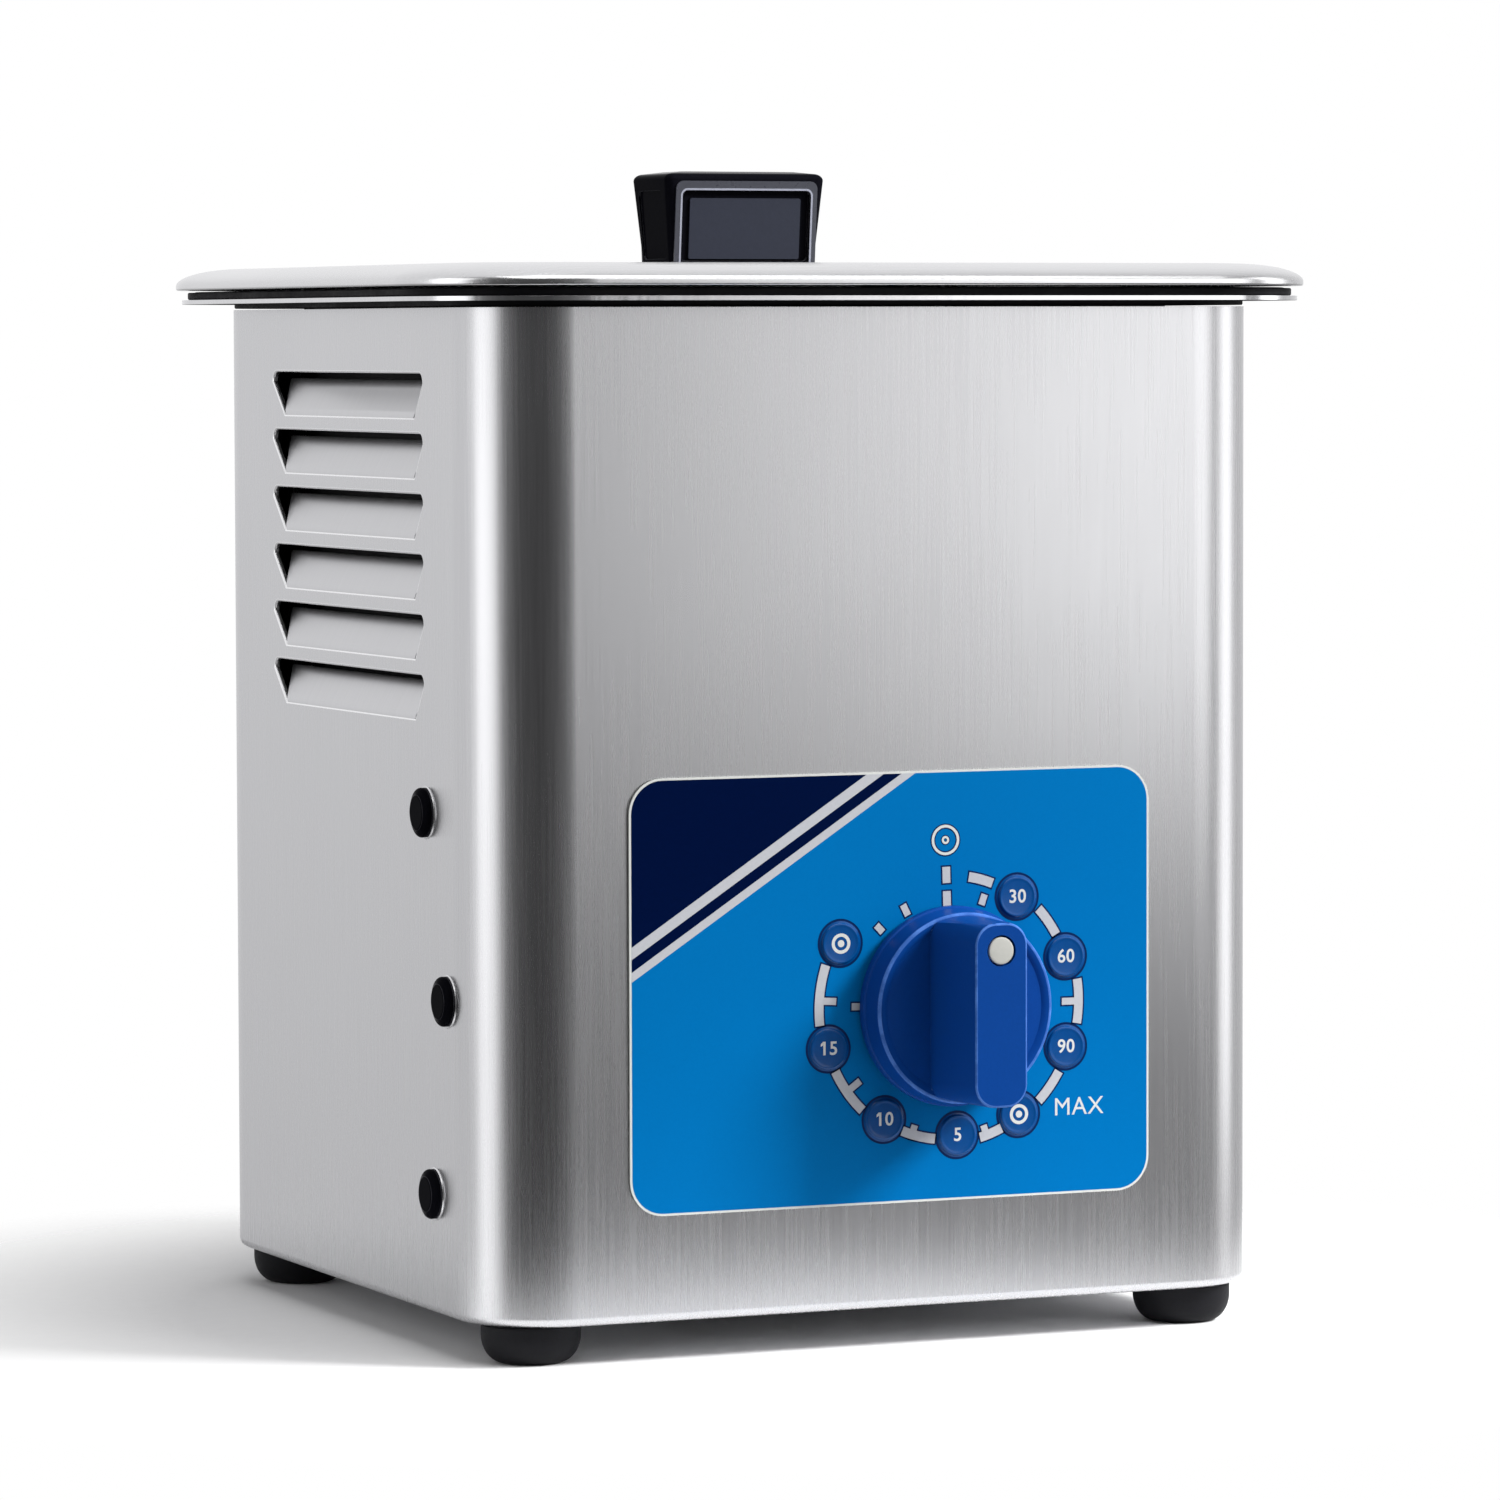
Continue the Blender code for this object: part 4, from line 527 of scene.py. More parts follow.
LOUVRE_COUNT = 6
LOUVRE_PITCH = 11.8 * MM
LOUVRE_FIRST_TOP = 184.2 * MM
LOUVRE_HEIGHT = 8.6 * MM
LOUVRE_TOP_SPAN = (-45.5 * MM, 40.0 * MM)
LOUVRE_BOTTOM_SPAN = (-41.0 * MM, 33.0 * MM)
LOUVRE_CORNER = 1.9 * MM
LOUVRE_BEND = math.radians(28)
LOUVRE_BEND_RADIUS = 2.2 * MM
LOUVRE_FLAP = 8.1 * MM
LOUVRE_TRIM = 0.35 * MM
LOUVRE_EDGE = 0.45 * MM
BOTTOM_BEND = 1.8 * MM
BOTTOM_LIP = 22 * MM
BOTTOM_LIP_CORNER = 4 * MM
TIMER_HOLE = 4.8 * MM
PLUG_HOLE = 4.3 * MM
SCREW_HOLE = 1.8 * MM
INLET_HOLE = (29.2 * MM, 31.2 * MM, 16 * MM)


def cabinet_rings():
    """The wrap from the inner edge of its bottom lip, round the bend and up to the top edge."""
    lip = level_ring(WIDTH - 2 * BOTTOM_LIP, DEPTH - 2 * BOTTOM_LIP, BOTTOM_LIP_CORNER, 0)
    path = bend((BOTTOM_BEND, 0), (0, BOTTOM_BEND), 8, upright=False) + [(0, TOP - BOTTOM)]
    return [lip] + inset_rings(WIDTH, DEPTH, CORNER, path)


def louvre_outline(top):
    """A slot as (y, z): sloping ends and round upper corners."""
    front_top, back_top = LOUVRE_TOP_SPAN
    front_bottom, back_bottom = LOUVRE_BOTTOM_SPAN
    points = [(front_bottom, top - LOUVRE_HEIGHT), (back_bottom, top - LOUVRE_HEIGHT)]
    points += bend((back_top, top - LOUVRE_CORNER), (back_top - LOUVRE_CORNER, top), 6, upright=True)
    points += bend((front_top + LOUVRE_CORNER, top), (front_top, top - LOUVRE_CORNER), 6, upright=False)
    return points


def louvre_cutter(top):
    """A bar through both walls whose outline swells at each outer surface, to round the slot's edge."""
    outline = louvre_outline(top)
    wall = WIDTH / 2
    half = bend((wall - LOUVRE_EDGE, 0), (wall, LOUVRE_EDGE), 5, upright=False)
    half.append((wall + 2 * MM, LOUVRE_EDGE * 2))
    rings = [[(-x, y, z) for y, z in grow(outline, swell)] for x, swell in reversed(half)]
    rings += [[(x, y, z) for y, z in grow(outline, swell)] for x, swell in half]
    return loft("louvre_cutter", rings, True, True)


def louvre_flap(side, top):
    """A flap that curves inwards out of the wall below its slot, with the slot's sloping ends."""
    half_thickness = 0.4 * MM
    arc_length = LOUVRE_BEND_RADIUS * LOUVRE_BEND
    steps = 5
    stations = [-0.3 * MM] + [arc_length * step / steps for step in range(steps + 1)]
    stations += [LOUVRE_FLAP - 0.25 * MM, LOUVRE_FLAP]
    rings = []
    for along in stations:
        lean = min(max(along, 0.0), arc_length) / LOUVRE_BEND_RADIUS
        beyond = max(along - arc_length, 0.0)
        inward = LOUVRE_BEND_RADIUS * (1 - math.cos(lean)) + beyond * math.sin(lean)
        rise = LOUVRE_BEND_RADIUS * math.sin(lean) + min(along, 0.0) + beyond * math.cos(lean)
        share = max(along, 0.0) / LOUVRE_HEIGHT
        corner = 0.3 * MM if along == LOUVRE_FLAP else 0.0
        front = LOUVRE_BOTTOM_SPAN[0] * (1 - share) + LOUVRE_TOP_SPAN[0] * share + LOUVRE_TRIM + corner
        back = LOUVRE_BOTTOM_SPAN[1] * (1 - share) + LOUVRE_TOP_SPAN[1] * share - LOUVRE_TRIM - corner
        half = half_thickness if along < LOUVRE_FLAP else half_thickness - 0.15 * MM
        ring = []
        for y, out in ((front, half), (back, half), (back, -half), (front, -half)):
            x = side * (WIDTH / 2 - SHEET / 2 - inward + out * math.cos(lean))
            ring.append((x, y, top - LOUVRE_HEIGHT + rise + out * math.sin(lean)))
        rings.append(ring)
    return loft("louvre_flap", rings, True, True)


def make_cabinet():
    """The wrapped sheet with its slots, holes and louvre flaps."""
    wrap = loft("cabinet_shell", cabinet_rings())
    cabinet = add_object("cabinet_shell", wrap, CABINET_FRAME, "brushed_steel")
    solidify(cabinet, SHEET)
    tops = [LOUVRE_FIRST_TOP - LOUVRE_PITCH * index for index in range(LOUVRE_COUNT)]
    slots = outward(join_meshes("louvre_slots", [(louvre_cutter(top), FLAT) for top in tops]))
    # The slots' cut faces take the near-white steel: a painted highlight round each slot's edge.
    boolean(cabinet, add_object("louvre_slots", slots, CABINET_FRAME, "slot_edge_highlight"))
    holes = [(rod(TIMER_HOLE, 48), at(TIMER_POINT, FACING_FRONT))]
    holes += [(rod(PLUG_HOLE, 48), at(plug_point(name), FACING_LEFT)) for name in PLUGS]
    holes.append((box_mesh("inlet_hole", INLET_HOLE), at(INLET_POINT, FACING_BACK)))
    holes += [(rod(SCREW_HOLE), at(foot_point(corner))) for corner in FEET]
    cut(cabinet, join_meshes("cabinet_holes", holes), FLAT)
    bevel(cabinet, 0.22 * MM, 2, 50)
    flaps = [(louvre_flap(side, top), FLAT) for side in (-1, 1) for top in tops]
    flap_mesh = outward(join_meshes("louvre_flaps", flaps))
    boolean(cabinet, add_object("louvre_flaps", flap_mesh, CABINET_FRAME, "brushed_flap"), "UNION")
    finish_piece(cabinet, "machine", ["cabinet"], 35)


# Small parts' places, from their CAD nodes

PLUGS = ("side_plug_upper", "side_plug_middle", "side_plug_lower")
FEET = ("front_left", "front_right", "back_left", "back_right")


def middle_of(node):
    """The middle of a CAD node's box."""
    low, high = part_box(node)
    return (low + high) / 2


def plug_point(name):
    """Where a plug meets the left wall."""
    middle = middle_of(name)
    return Vector((LEFT, middle.y, middle.z))


def foot_point(corner):
    """Where a foot meets the cabinet's underside."""
    middle = middle_of("foot_" + corner)
    return Vector((middle.x, middle.y, BOTTOM))


INLET_LOW, INLET_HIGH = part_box("power_inlet")
INLET_POINT = Vector(((INLET_LOW.x + INLET_HIGH.x) / 2, BACK, (INLET_LOW.z + INLET_HIGH.z) / 2))


def make_plugs():
    """Black snap-in plugs: a flat cap with a round shoulder, standing on a thin bright collar whose lighter steel
    colour is a painted highlight.
    """
    head = 4.9 * MM
    neck = 3.6 * MM
    rise = 2.15 * MM
    profile = [(0, rise), (neck - 0.4 * MM, rise)]
    profile += arc((neck - 0.4 * MM, rise - 0.4 * MM), 0.4 * MM, 90, 35, 4)
    profile += arc((head - 0.9 * MM, GAP + 0.55 * MM), 0.9 * MM, 70, -20, 8)
    profile += [(head, GAP + 0.1 * MM), (head - 0.1 * MM, GAP), (neck, GAP), (neck, -3 * MM),
                (neck - 1.0 * MM, -5 * MM), (0, -5 * MM)]
    collar_profile = [(PLUG_HOLE, 0.26 * MM), (5.05 * MM, 0.26 * MM), (5.25 * MM, 0.02 * MM),
                      (PLUG_HOLE, 0.02 * MM)]
    for name in PLUGS:
        place = at(plug_point(name), FACING_LEFT)
        cap = lathe("plug_cap", profile, 64)
        add_piece(name + "_cap", cap, place, "black_plastic", "machine", [name])
        collar = lathe("plug_collar", collar_profile, 64)
        # The collar's lighter steel is a painted highlight round the plug.
        add_piece(name + "_collar", collar, place, "collar_highlight_steel", "machine")


def make_feet():
    """Rubber feet: a straight band, a domed side, a flat sole and a sunk cross-head screw."""
    low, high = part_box("foot_front_left")
    radius = (high.x - low.x) / 2
    top = high.z - BOTTOM
    sole = low.z - BOTTOM
    band = top - 2.2 * MM
    profile = [(1.9 * MM, top), (radius - 0.3 * MM, top), (radius, top - 0.3 * MM)]
    profile += bend((radius, band), (5.6 * MM, sole), 12, upright=True)
    profile += [(3.6 * MM, sole), (3.4 * MM, sole + 0.2 * MM), (3.4 * MM, -4 * MM), (1.9 * MM, -4 * MM)]
    for corner in FEET:
        place = at(foot_point(corner))
        foot = lathe("rubber_foot", profile, 72)
        add_piece("rubber_foot_" + corner, foot, place, "black_rubber", "machine",
                  ["foot_" + corner])
        make_screw("sole_screw_" + corner, -4.3 * MM, 9.0 * MM, place, "machine", "foot_screw_" + corner)


def make_screw(name, head_top, length, place, body, node):
    """A pan-head screw, head down: its head hangs below head_top, its threaded shank stands above."""
    head_radius = 2.9 * MM
    head_height = 1.9 * MM
    shank = 1.5 * MM
    pitch = 0.5 * MM
    crest = [(0, head_top + length), (shank * 0.6, head_top + length)]
    turns = int((length - 1.0 * MM) / pitch)
    for index in range(turns):
        base = head_top + length - 0.4 * MM - index * pitch
        crest.append((shank, base))
        crest.append((shank - 0.22 * MM, base - pitch / 2))
    low = head_top - head_height
    crest += [(shank, head_top + 0.3 * MM), (shank, head_top), (head_radius - 0.15 * MM, head_top),
              (head_radius, head_top - 0.15 * MM)]
    crest += [(head_radius - 0.05 * MM, low + 1.0 * MM), (head_radius * 0.86, low + 0.45 * MM),
              (head_radius * 0.6, low + 0.12 * MM), (head_radius * 0.3, low), (0, low)]
    screw = add_object(name, lathe(name, crest, 40), FLAT, "zinc_plate")
    cross = add_object("cross", box_mesh("cross", (3.4 * MM, 0.7 * MM, 2 * MM)), at((0, 0, low)))
    bar = box_mesh("cross_bar", (0.7 * MM, 3.4 * MM, 2 * MM))
    boolean(cross, add_object("cross_bar", bar, at((0, 0, low))), "UNION")
    boolean(screw, cross)
    screw.matrix_world = place
    finish_piece(screw, body, [node])


# Tank, gasket and lid

RIM_LOW, RIM_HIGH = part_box("tank")
RIM_WIDTH = RIM_HIGH.x - RIM_LOW.x
RIM_DEPTH = RIM_HIGH.y - RIM_LOW.y
RIM_TOP = RIM_HIGH.z - BOTTOM
RIM_RADIUS = CORNER + (RIM_WIDTH - WIDTH) / 2
MOUTH_MARGIN = 11 * MM
TANK_CORNER = 24 * MM
TANK_WALL = 0.9 * MM
TANK_DEPTH = 100.7 * MM
RIM_LIP = 2.4 * MM
RIM_STEP = 1.7 * MM
RIM_EDGE = 0.6 * MM
LIP_TOP = RIM_TOP - RIM_STEP


def make_tank():
    """The drawn basin: a thin lip, a step up to the rim, a soft mouth and a round-cornered floor."""
    fillet = 0.4 * MM
    path = [(0.0, LIP_TOP), (fillet, LIP_TOP)]
    path += bend((RIM_LIP - fillet, LIP_TOP), (RIM_LIP, LIP_TOP + fillet), 4, upright=False)
    path += bend((RIM_LIP, RIM_TOP - RIM_EDGE), (RIM_LIP + RIM_EDGE, RIM_TOP), 6, upright=True)
    rings = inset_rings(RIM_WIDTH, RIM_DEPTH, RIM_RADIUS, path)
    mouth_width = WIDTH - 2 * MOUTH_MARGIN
    mouth_depth = DEPTH - 2 * MOUTH_MARGIN
    mouth = 3 * MM
    path = bend((-mouth, RIM_TOP), (0, RIM_TOP - mouth), 8, upright=False)
    rings += inset_rings(mouth_width, mouth_depth, TANK_CORNER, path)
    floor = RIM_TOP - TANK_DEPTH
    floor_radius = 12 * MM
    draft = 1.5 * MM
    path = bend((draft, floor + floor_radius), (draft + floor_radius, floor), 12, upright=True)
    rings += inset_rings(mouth_width, mouth_depth, TANK_CORNER + draft, path)
    mesh = loft("drawn_tank", rings, close_last=True)
    tank = add_object("drawn_tank", mesh, CABINET_FRAME, "drawn_steel")
    solidify(tank, TANK_WALL, "damping_coat")
    bevel(tank, 0.25 * MM, 3, 60)
    finish_piece(tank, "machine", ["tank"])


def make_rim_shade_band():
    """Painted shade: a black band in the step of the rim, under the lid, where the lid's shadow falls."""
    inner = RIM_LIP - 0.08 * MM
    outer = RIM_LIP - 1.2 * MM
    chamfer = 0.2 * MM
    low = LIP_TOP + 0.08 * MM
    top = RIM_TOP - 0.15 * MM
    path = [(inner, low), (outer + chamfer, low), (outer, low + 0.22 * MM), (outer, top - chamfer),
            (outer + chamfer, top), (inner, top), (inner, low)]
    mesh = outward(loft("rim_shade_band", inset_rings(RIM_WIDTH, RIM_DEPTH, RIM_RADIUS, path)))
    add_piece("rim_shade_band", mesh, CABINET_FRAME, "black_rubber", "machine")


def make_gasket():
    """The rubber ring between the cabinet's top edge and the rim, soft at its outer face."""
    low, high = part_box("rim_gasket")
    bottom = low.z - BOTTOM
    top = high.z - BOTTOM
    bulge = 0.25 * MM
    path = ((0.35 * MM, bottom), (0.2 * MM, bottom + bulge), (0.2 * MM, top - bulge), (0.35 * MM, top),
            (3.6 * MM, top), (4.0 * MM, top - bulge), (4.0 * MM, bottom + bulge), (3.6 * MM, bottom),
            (0.35 * MM, bottom))
    mesh = outward(loft("seal_ring", inset_rings(WIDTH, DEPTH, CORNER, path)))
    add_piece("seal_ring", mesh, CABINET_FRAME, "black_rubber", "machine", ["rim_gasket"])


LID_RIM = 0.9 * MM
LID_SHOULDER = 14 * MM
LID_SHEET = 1.0 * MM
LID_HEM_STEP = 12
HANDLE_SCREWS = (-9 * MM, 9 * MM)
HANDLE_BASE = (32.2 * MM, 16.0 * MM)
HANDLE_CROWN = 1.9 * MM
HANDLE_WELL = (28.2 * MM, 14.6 * MM)
HANDLE_END_WELL = (12.4 * MM, 14.0 * MM)
HANDLE_INSET = (24.6 * MM, 12.4 * MM)


def make_lid():
    """The pressed lid: a folded hem, a soft shoulder all round and a flat middle."""
    low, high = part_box("lid_cover")
    width, depth, rise = high - low
    bottom = low.z - BOTTOM
    radius = CORNER + (width - WIDTH) / 2
    outside = bend((0, bottom + LID_RIM), (LID_SHOULDER, bottom + rise), 20, upright=True)
    underside = [(inset, height - LID_SHEET) for inset, height in reversed(outside[LID_HEM_STEP:])]
    hem = underside[-1][0]
    fold = 0.42 * MM
    edge = bend((fold, bottom), (0, bottom + fold), 6, upright=False)
    path = underside + [(hem, bottom + fold), (hem - fold, bottom)] + edge + outside
    sheet = loft("pressed_lid", inset_rings(width, depth, radius, path), True, True)
    lid = add_object("pressed_lid", sheet, CABINET_FRAME, "polished_steel")
    top = high.z - BOTTOM
    holes = [(rod(SCREW_HOLE), at((x, 0, top))) for x in HANDLE_SCREWS]
    cut(lid, join_meshes("lid_holes", holes), CABINET_FRAME)
    finish_piece(lid, "lid", ["lid_cover"])
    for name, x in zip(("left", "right"), HANDLE_SCREWS):
        place = CABINET_FRAME @ at((x, 0, 0))
        make_screw("handle_screw_" + name, top - LID_SHEET - GAP, 7.5 * MM, place, "lid",
                   "lid_screw_" + name)


HANDLE_LOW, HANDLE_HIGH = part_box("lid_handle")
HANDLE_WIDTH, HANDLE_DEPTH, HANDLE_HEIGHT = HANDLE_HIGH - HANDLE_LOW
HANDLE_FRAME = at((CENTRE.x, CENTRE.y, HANDLE_LOW.z))
# Half width, top and corner radius of the satin arch on the handle's long faces, and its foot
BAND_OUTER = Vector((15.7, 8.3, 1.6)) * MM
BAND_INNER = Vector((14.3, 6.4, 1.1)) * MM
# Margin of the pale strip inside the arch, a painted highlight
BAND_HIGHLIGHT = Vector((0.4, 0.4, 0.4)) * MM
BAND_LOW = -8.6 * MM


def handle_face(side, out, down):
    """A place on a long face of the handle, from the middle of that leaning face."""
    lean = math.atan2((HANDLE_DEPTH - HANDLE_BASE[1]) / 2, HANDLE_HEIGHT)
    middle = (HANDLE_DEPTH + HANDLE_BASE[1]) / 4
    turned = Matrix.Rotation(-side * lean, 4, "X") @ (FACING_FRONT if side < 0 else FACING_BACK)
    return at((0, side * (middle + out), HANDLE_HEIGHT / 2 - down), turned)


def handle_end(side, out, down):
    """The same on a short face."""
    lean = math.atan2((HANDLE_WIDTH - HANDLE_BASE[0]) / 2, HANDLE_HEIGHT)
    middle = (HANDLE_WIDTH + HANDLE_BASE[0]) / 4
    turned = Matrix.Rotation(side * lean, 4, "Y") @ (FACING_RIGHT if side > 0 else FACING_LEFT)
    return at((side * (middle + out), 0, HANDLE_HEIGHT / 2 - down), turned)


def make_handle():
    """A glossy grip that widens upwards, with a framed recess in each face."""
    base_width, base_depth = HANDLE_BASE
    sections = [(base_width - 0.6 * MM, base_depth - 0.6 * MM, 1.2 * MM, 0),
                (base_width, base_depth, 1.5 * MM, 0.3 * MM)]
    start = (0, HANDLE_HEIGHT - HANDLE_CROWN)
    end = (HANDLE_CROWN, HANDLE_HEIGHT - 0.5 * MM)
    crown = [(inset, max(HANDLE_CROWN - inset * 0.7, 0.5 * MM), height)
             for inset, height in bend(start, end, 6, upright=True)]
    crown += [(HANDLE_CROWN + 3 * MM, 0.5 * MM, HANDLE_HEIGHT - 0.1 * MM),
              (HANDLE_CROWN + 6 * MM, 0.3 * MM, HANDLE_HEIGHT)]
    sections += [(HANDLE_WIDTH - 2 * inset, HANDLE_DEPTH - 2 * inset, corner, height)
                 for inset, corner, height in crown]
    rings = [level_ring(*section, 6) for section in sections]
    mesh = loft("grip_block", rings, True, True)
    handle = add_object("grip_block", mesh, HANDLE_FRAME, "black_plastic")
    face_well = plate("well", [rounded_rectangle(*HANDLE_WELL, 1.0 * MM, 6)], 0, 4 * MM)
    end_well = plate("well", [rounded_rectangle(*HANDLE_END_WELL, 1.0 * MM, 6)], 0, 4 * MM)
    wells = []
    for side in (-1, 1):
        wells.append((face_well, handle_face(side, -0.9 * MM, 1.5 * MM)))
        wells.append((end_well, handle_end(side, -0.5 * MM, 1.4 * MM)))
    cut(handle, join_meshes("wells", wells), HANDLE_FRAME)
    holes = [(rod(SCREW_HOLE, low=-1 * MM), at((x, 0, 0))) for x in HANDLE_SCREWS]
    cut(handle, join_meshes("holes", holes), HANDLE_FRAME)
    bevel(handle, 0.3 * MM, 3, 32)
    finish_piece(handle, "lid", ["lid_handle"], 35)
    make_handle_trim("front", -1)
    make_handle_trim("back", 1)


def make_handle_trim(name, side):
    """The sunk inset plate of a long face, and the satin arch round it with a pale strip, a painted highlight,
    along its inner edge.
    """
    panel = plate("inset", [rounded_rectangle(*HANDLE_INSET, 0.4 * MM, 4)], 0, 0.45 * MM)
    place = HANDLE_FRAME @ handle_face(side, -0.88 * MM, 2.2 * MM)
    inset = add_object("grip_inset_" + name, panel, place, "handle_inset")
    bevel(inset, 0.15 * MM, 2, 40)
    finish_piece(inset, "lid")
    place = HANDLE_FRAME @ handle_face(side, 0.02 * MM, 0.8 * MM)
    # The pale strip is a painted highlight along the arch's inner edge.
    for part, outer, proud in (("band", BAND_OUTER, 0.35 * MM), ("highlight_strip", BAND_INNER + BAND_HIGHLIGHT, 0.42 * MM)):
        arch = plate("arch", [arch_outline(outer, BAND_INNER)], 0, proud)
        add_piece(f"grip_{part}_{name}", arch, place, "handle_" + part, "lid",
                  weighted=False)


def arch_outline(outer, inner):
    """An arch down both sides of the handle's recess and over its top, between two outlines."""
    sides = []
    for half, top, corner in (outer, inner):
        sides.append([(half, BAND_LOW)] + arc((half - corner, top - corner), corner, 0, 90, 8)
                     + arc((corner - half, top - corner), corner, 90, 180, 8) + [(-half, BAND_LOW)])
    return sides[0] + sides[1][::-1]


# Control panel, in (x, z) measured from the cabinet's middle and bottom edge

PANEL_X = (-56.0 * MM, 56.2 * MM)
PANEL_Z = (20.9 * MM, 106.0 * MM)
PANEL_CORNER = 7 * MM
PANEL_BORDER = 0.45 * MM
PANEL_FACE = 0.7 * MM
PRINT = 0.02 * MM
DIAGONAL_ANGLE = math.radians(32.8)
DIAGONAL_TOP = -4.9 * MM
STRIPES = (("silver", 2.0 * MM), ("navy", 2.1 * MM), ("silver", 1.6 * MM))
DOT_RADIUS = 4.4 * MM
# Clockwise angle, distance from the knob's axis and number of each dial dot
DIAL = ((35, 25.6, "30"), (71, 26.8, "60"), (110, 27.0, "90"), (146, 26.8, ""), (176.5, 25.8, "5"),
        (213, 26.2, "10"), (254, 27.3, "15"), (299, 27.0, ""))
DIAL_X = TIMER_POINT.x - CENTRE.x
DIAL_Z = TIMER_POINT.z - BOTTOM
ARC_WIDTH = 1.9 * MM
# Start, end and radius of the bars between the dots
ARCS = ((9.5, 21.5, 25.6), (46.5, 60.5, 26.8), (81.5, 99.5, 28.3), (120.5, 135.5, 27.8),
        (155.5, 166, 27.3), (187, 203, 26.5), (223.5, 244, 27.5), (264, 288.5, 28.2))
# Angle, inner radius and outer radius of the ticks that stand on the arcs
ARC_TICKS = ((90.5, 24.6, 27.4), (163, 25.2, 27.4), (198, 24.6, 27.4), (234, 24.0, 27.4), (274, 24.6, 27.4))
# The same for the ticks round the knob, and the two dashes that point at the off mark
KNOB_TICKS = ((19.5, 20.8, 23.0), (333.5, 20.2, 22.6), (316, 20.8, 22.8), (271.5, 18.6, 21.2))
OFF_DASHES = ((19.4, 22.6), (24.2, 27.4))
OFF_ANGLE = 358.5
OFF_RADIUS = 32.7 * MM
MAX_PLACE = (40.6 * MM, 38.1 * MM)
SHAFT_HOLE = 7.6 * MM
PANEL_FRAME = at((CENTRE.x, FRONT, BOTTOM), FACING_FRONT)


def clip(outline, normal, offset):
    """The part of a convex outline where normal . point is at most offset."""
    kept = []
    for start, end in zip(outline, outline[1:] + outline[:1]):
        a = start[0] * normal[0] + start[1] * normal[1] - offset
        b = end[0] * normal[0] + end[1] * normal[1] - offset
        if a <= 0:
            kept.append(start)
        if (a < 0 < b) or (b < 0 < a):
            t = a / (a - b)
            kept.append((start[0] + (end[0] - start[0]) * t, start[1] + (end[1] - start[1]) * t))
    return kept


def panel_outline(inset):
    """The panel's rounded outline, shrunk by an inset."""
    centre = (sum(PANEL_X) / 2, sum(PANEL_Z) / 2)
    return rounded_rectangle(PANEL_X[1] - PANEL_X[0] - 2 * inset, PANEL_Z[1] - PANEL_Z[0] - 2 * inset,
                             PANEL_CORNER - inset, 12, centre)


def add_flat(name, mesh, look, replaces=(), place=PANEL_FRAME):
    """A flat piece of the panel."""
    add_piece(name, mesh, place, look, "machine", replaces, 30, weighted=False)


def print_layer(name, outlines, material, layer=1):
    """Ink on the panel: a thin plate whose layer number sets how far it stands out."""
    low = PANEL_FACE + (layer - 1) * PRINT + 0.002 * MM
    add_flat(name, plate(name, outlines, low, low + PRINT), material)


def dial_point(degrees, radius):
    """A point of the panel, by its clockwise angle and distance from the knob's axis."""
    angle = math.radians(degrees)
    return DIAL_X + radius * math.sin(angle), DIAL_Z + radius * math.cos(angle)


def arc_band(start, end, radius):
    """A curved bar round the dial between two clockwise angles."""
    steps = max(4, int((end - start) / 2))
    angles = [start + (end - start) * step / steps for step in range(steps + 1)]
    outer = [dial_point(angle, radius + ARC_WIDTH / 2) for angle in angles]
    inner = [dial_point(angle, radius - ARC_WIDTH / 2) for angle in reversed(angles)]
    return outer + inner


def tick(degrees, inner, outer, width=1.4 * MM):
    """A straight radial bar."""
    angle = math.radians(degrees)
    across = (math.cos(angle) * width / 2, -math.sin(angle) * width / 2)
    a = dial_point(degrees, inner)
    b = dial_point(degrees, outer)
    return [(a[0] - across[0], a[1] - across[1]), (b[0] - across[0], b[1] - across[1]),
            (b[0] + across[0], b[1] + across[1]), (a[0] + across[0], a[1] + across[1])]


def make_panel():
    """The overlay's plate with its pale border, the blue field, the navy corner and its stripes."""
    hole = circle(SHAFT_HOLE, (DIAL_X, DIAL_Z), 64)
    base = plate("panel_plate", [panel_outline(0), hole], GAP, PANEL_FACE)
    add_flat("panel_plate", base, "overlay_cream", ["front_panel"])
    normal = (math.sin(DIAGONAL_ANGLE), -math.cos(DIAGONAL_ANGLE))
    offset = DIAGONAL_TOP * normal[0] + PANEL_Z[1] * normal[1]
    field = panel_outline(PANEL_BORDER)
    print_layer("print_navy_corner", [clip(field, normal, offset)], "overlay_navy")
    inverse = (-normal[0], -normal[1])
    for index, (colour, width) in enumerate(STRIPES):
        band = clip(clip(field, inverse, -offset), normal, offset + width)
        print_layer(f"print_stripe_{index + 1}", [band], f"overlay_{colour}")
        offset += width
    print_layer("print_blue_field", [clip(field, inverse, -offset), hole], "overlay_blue")


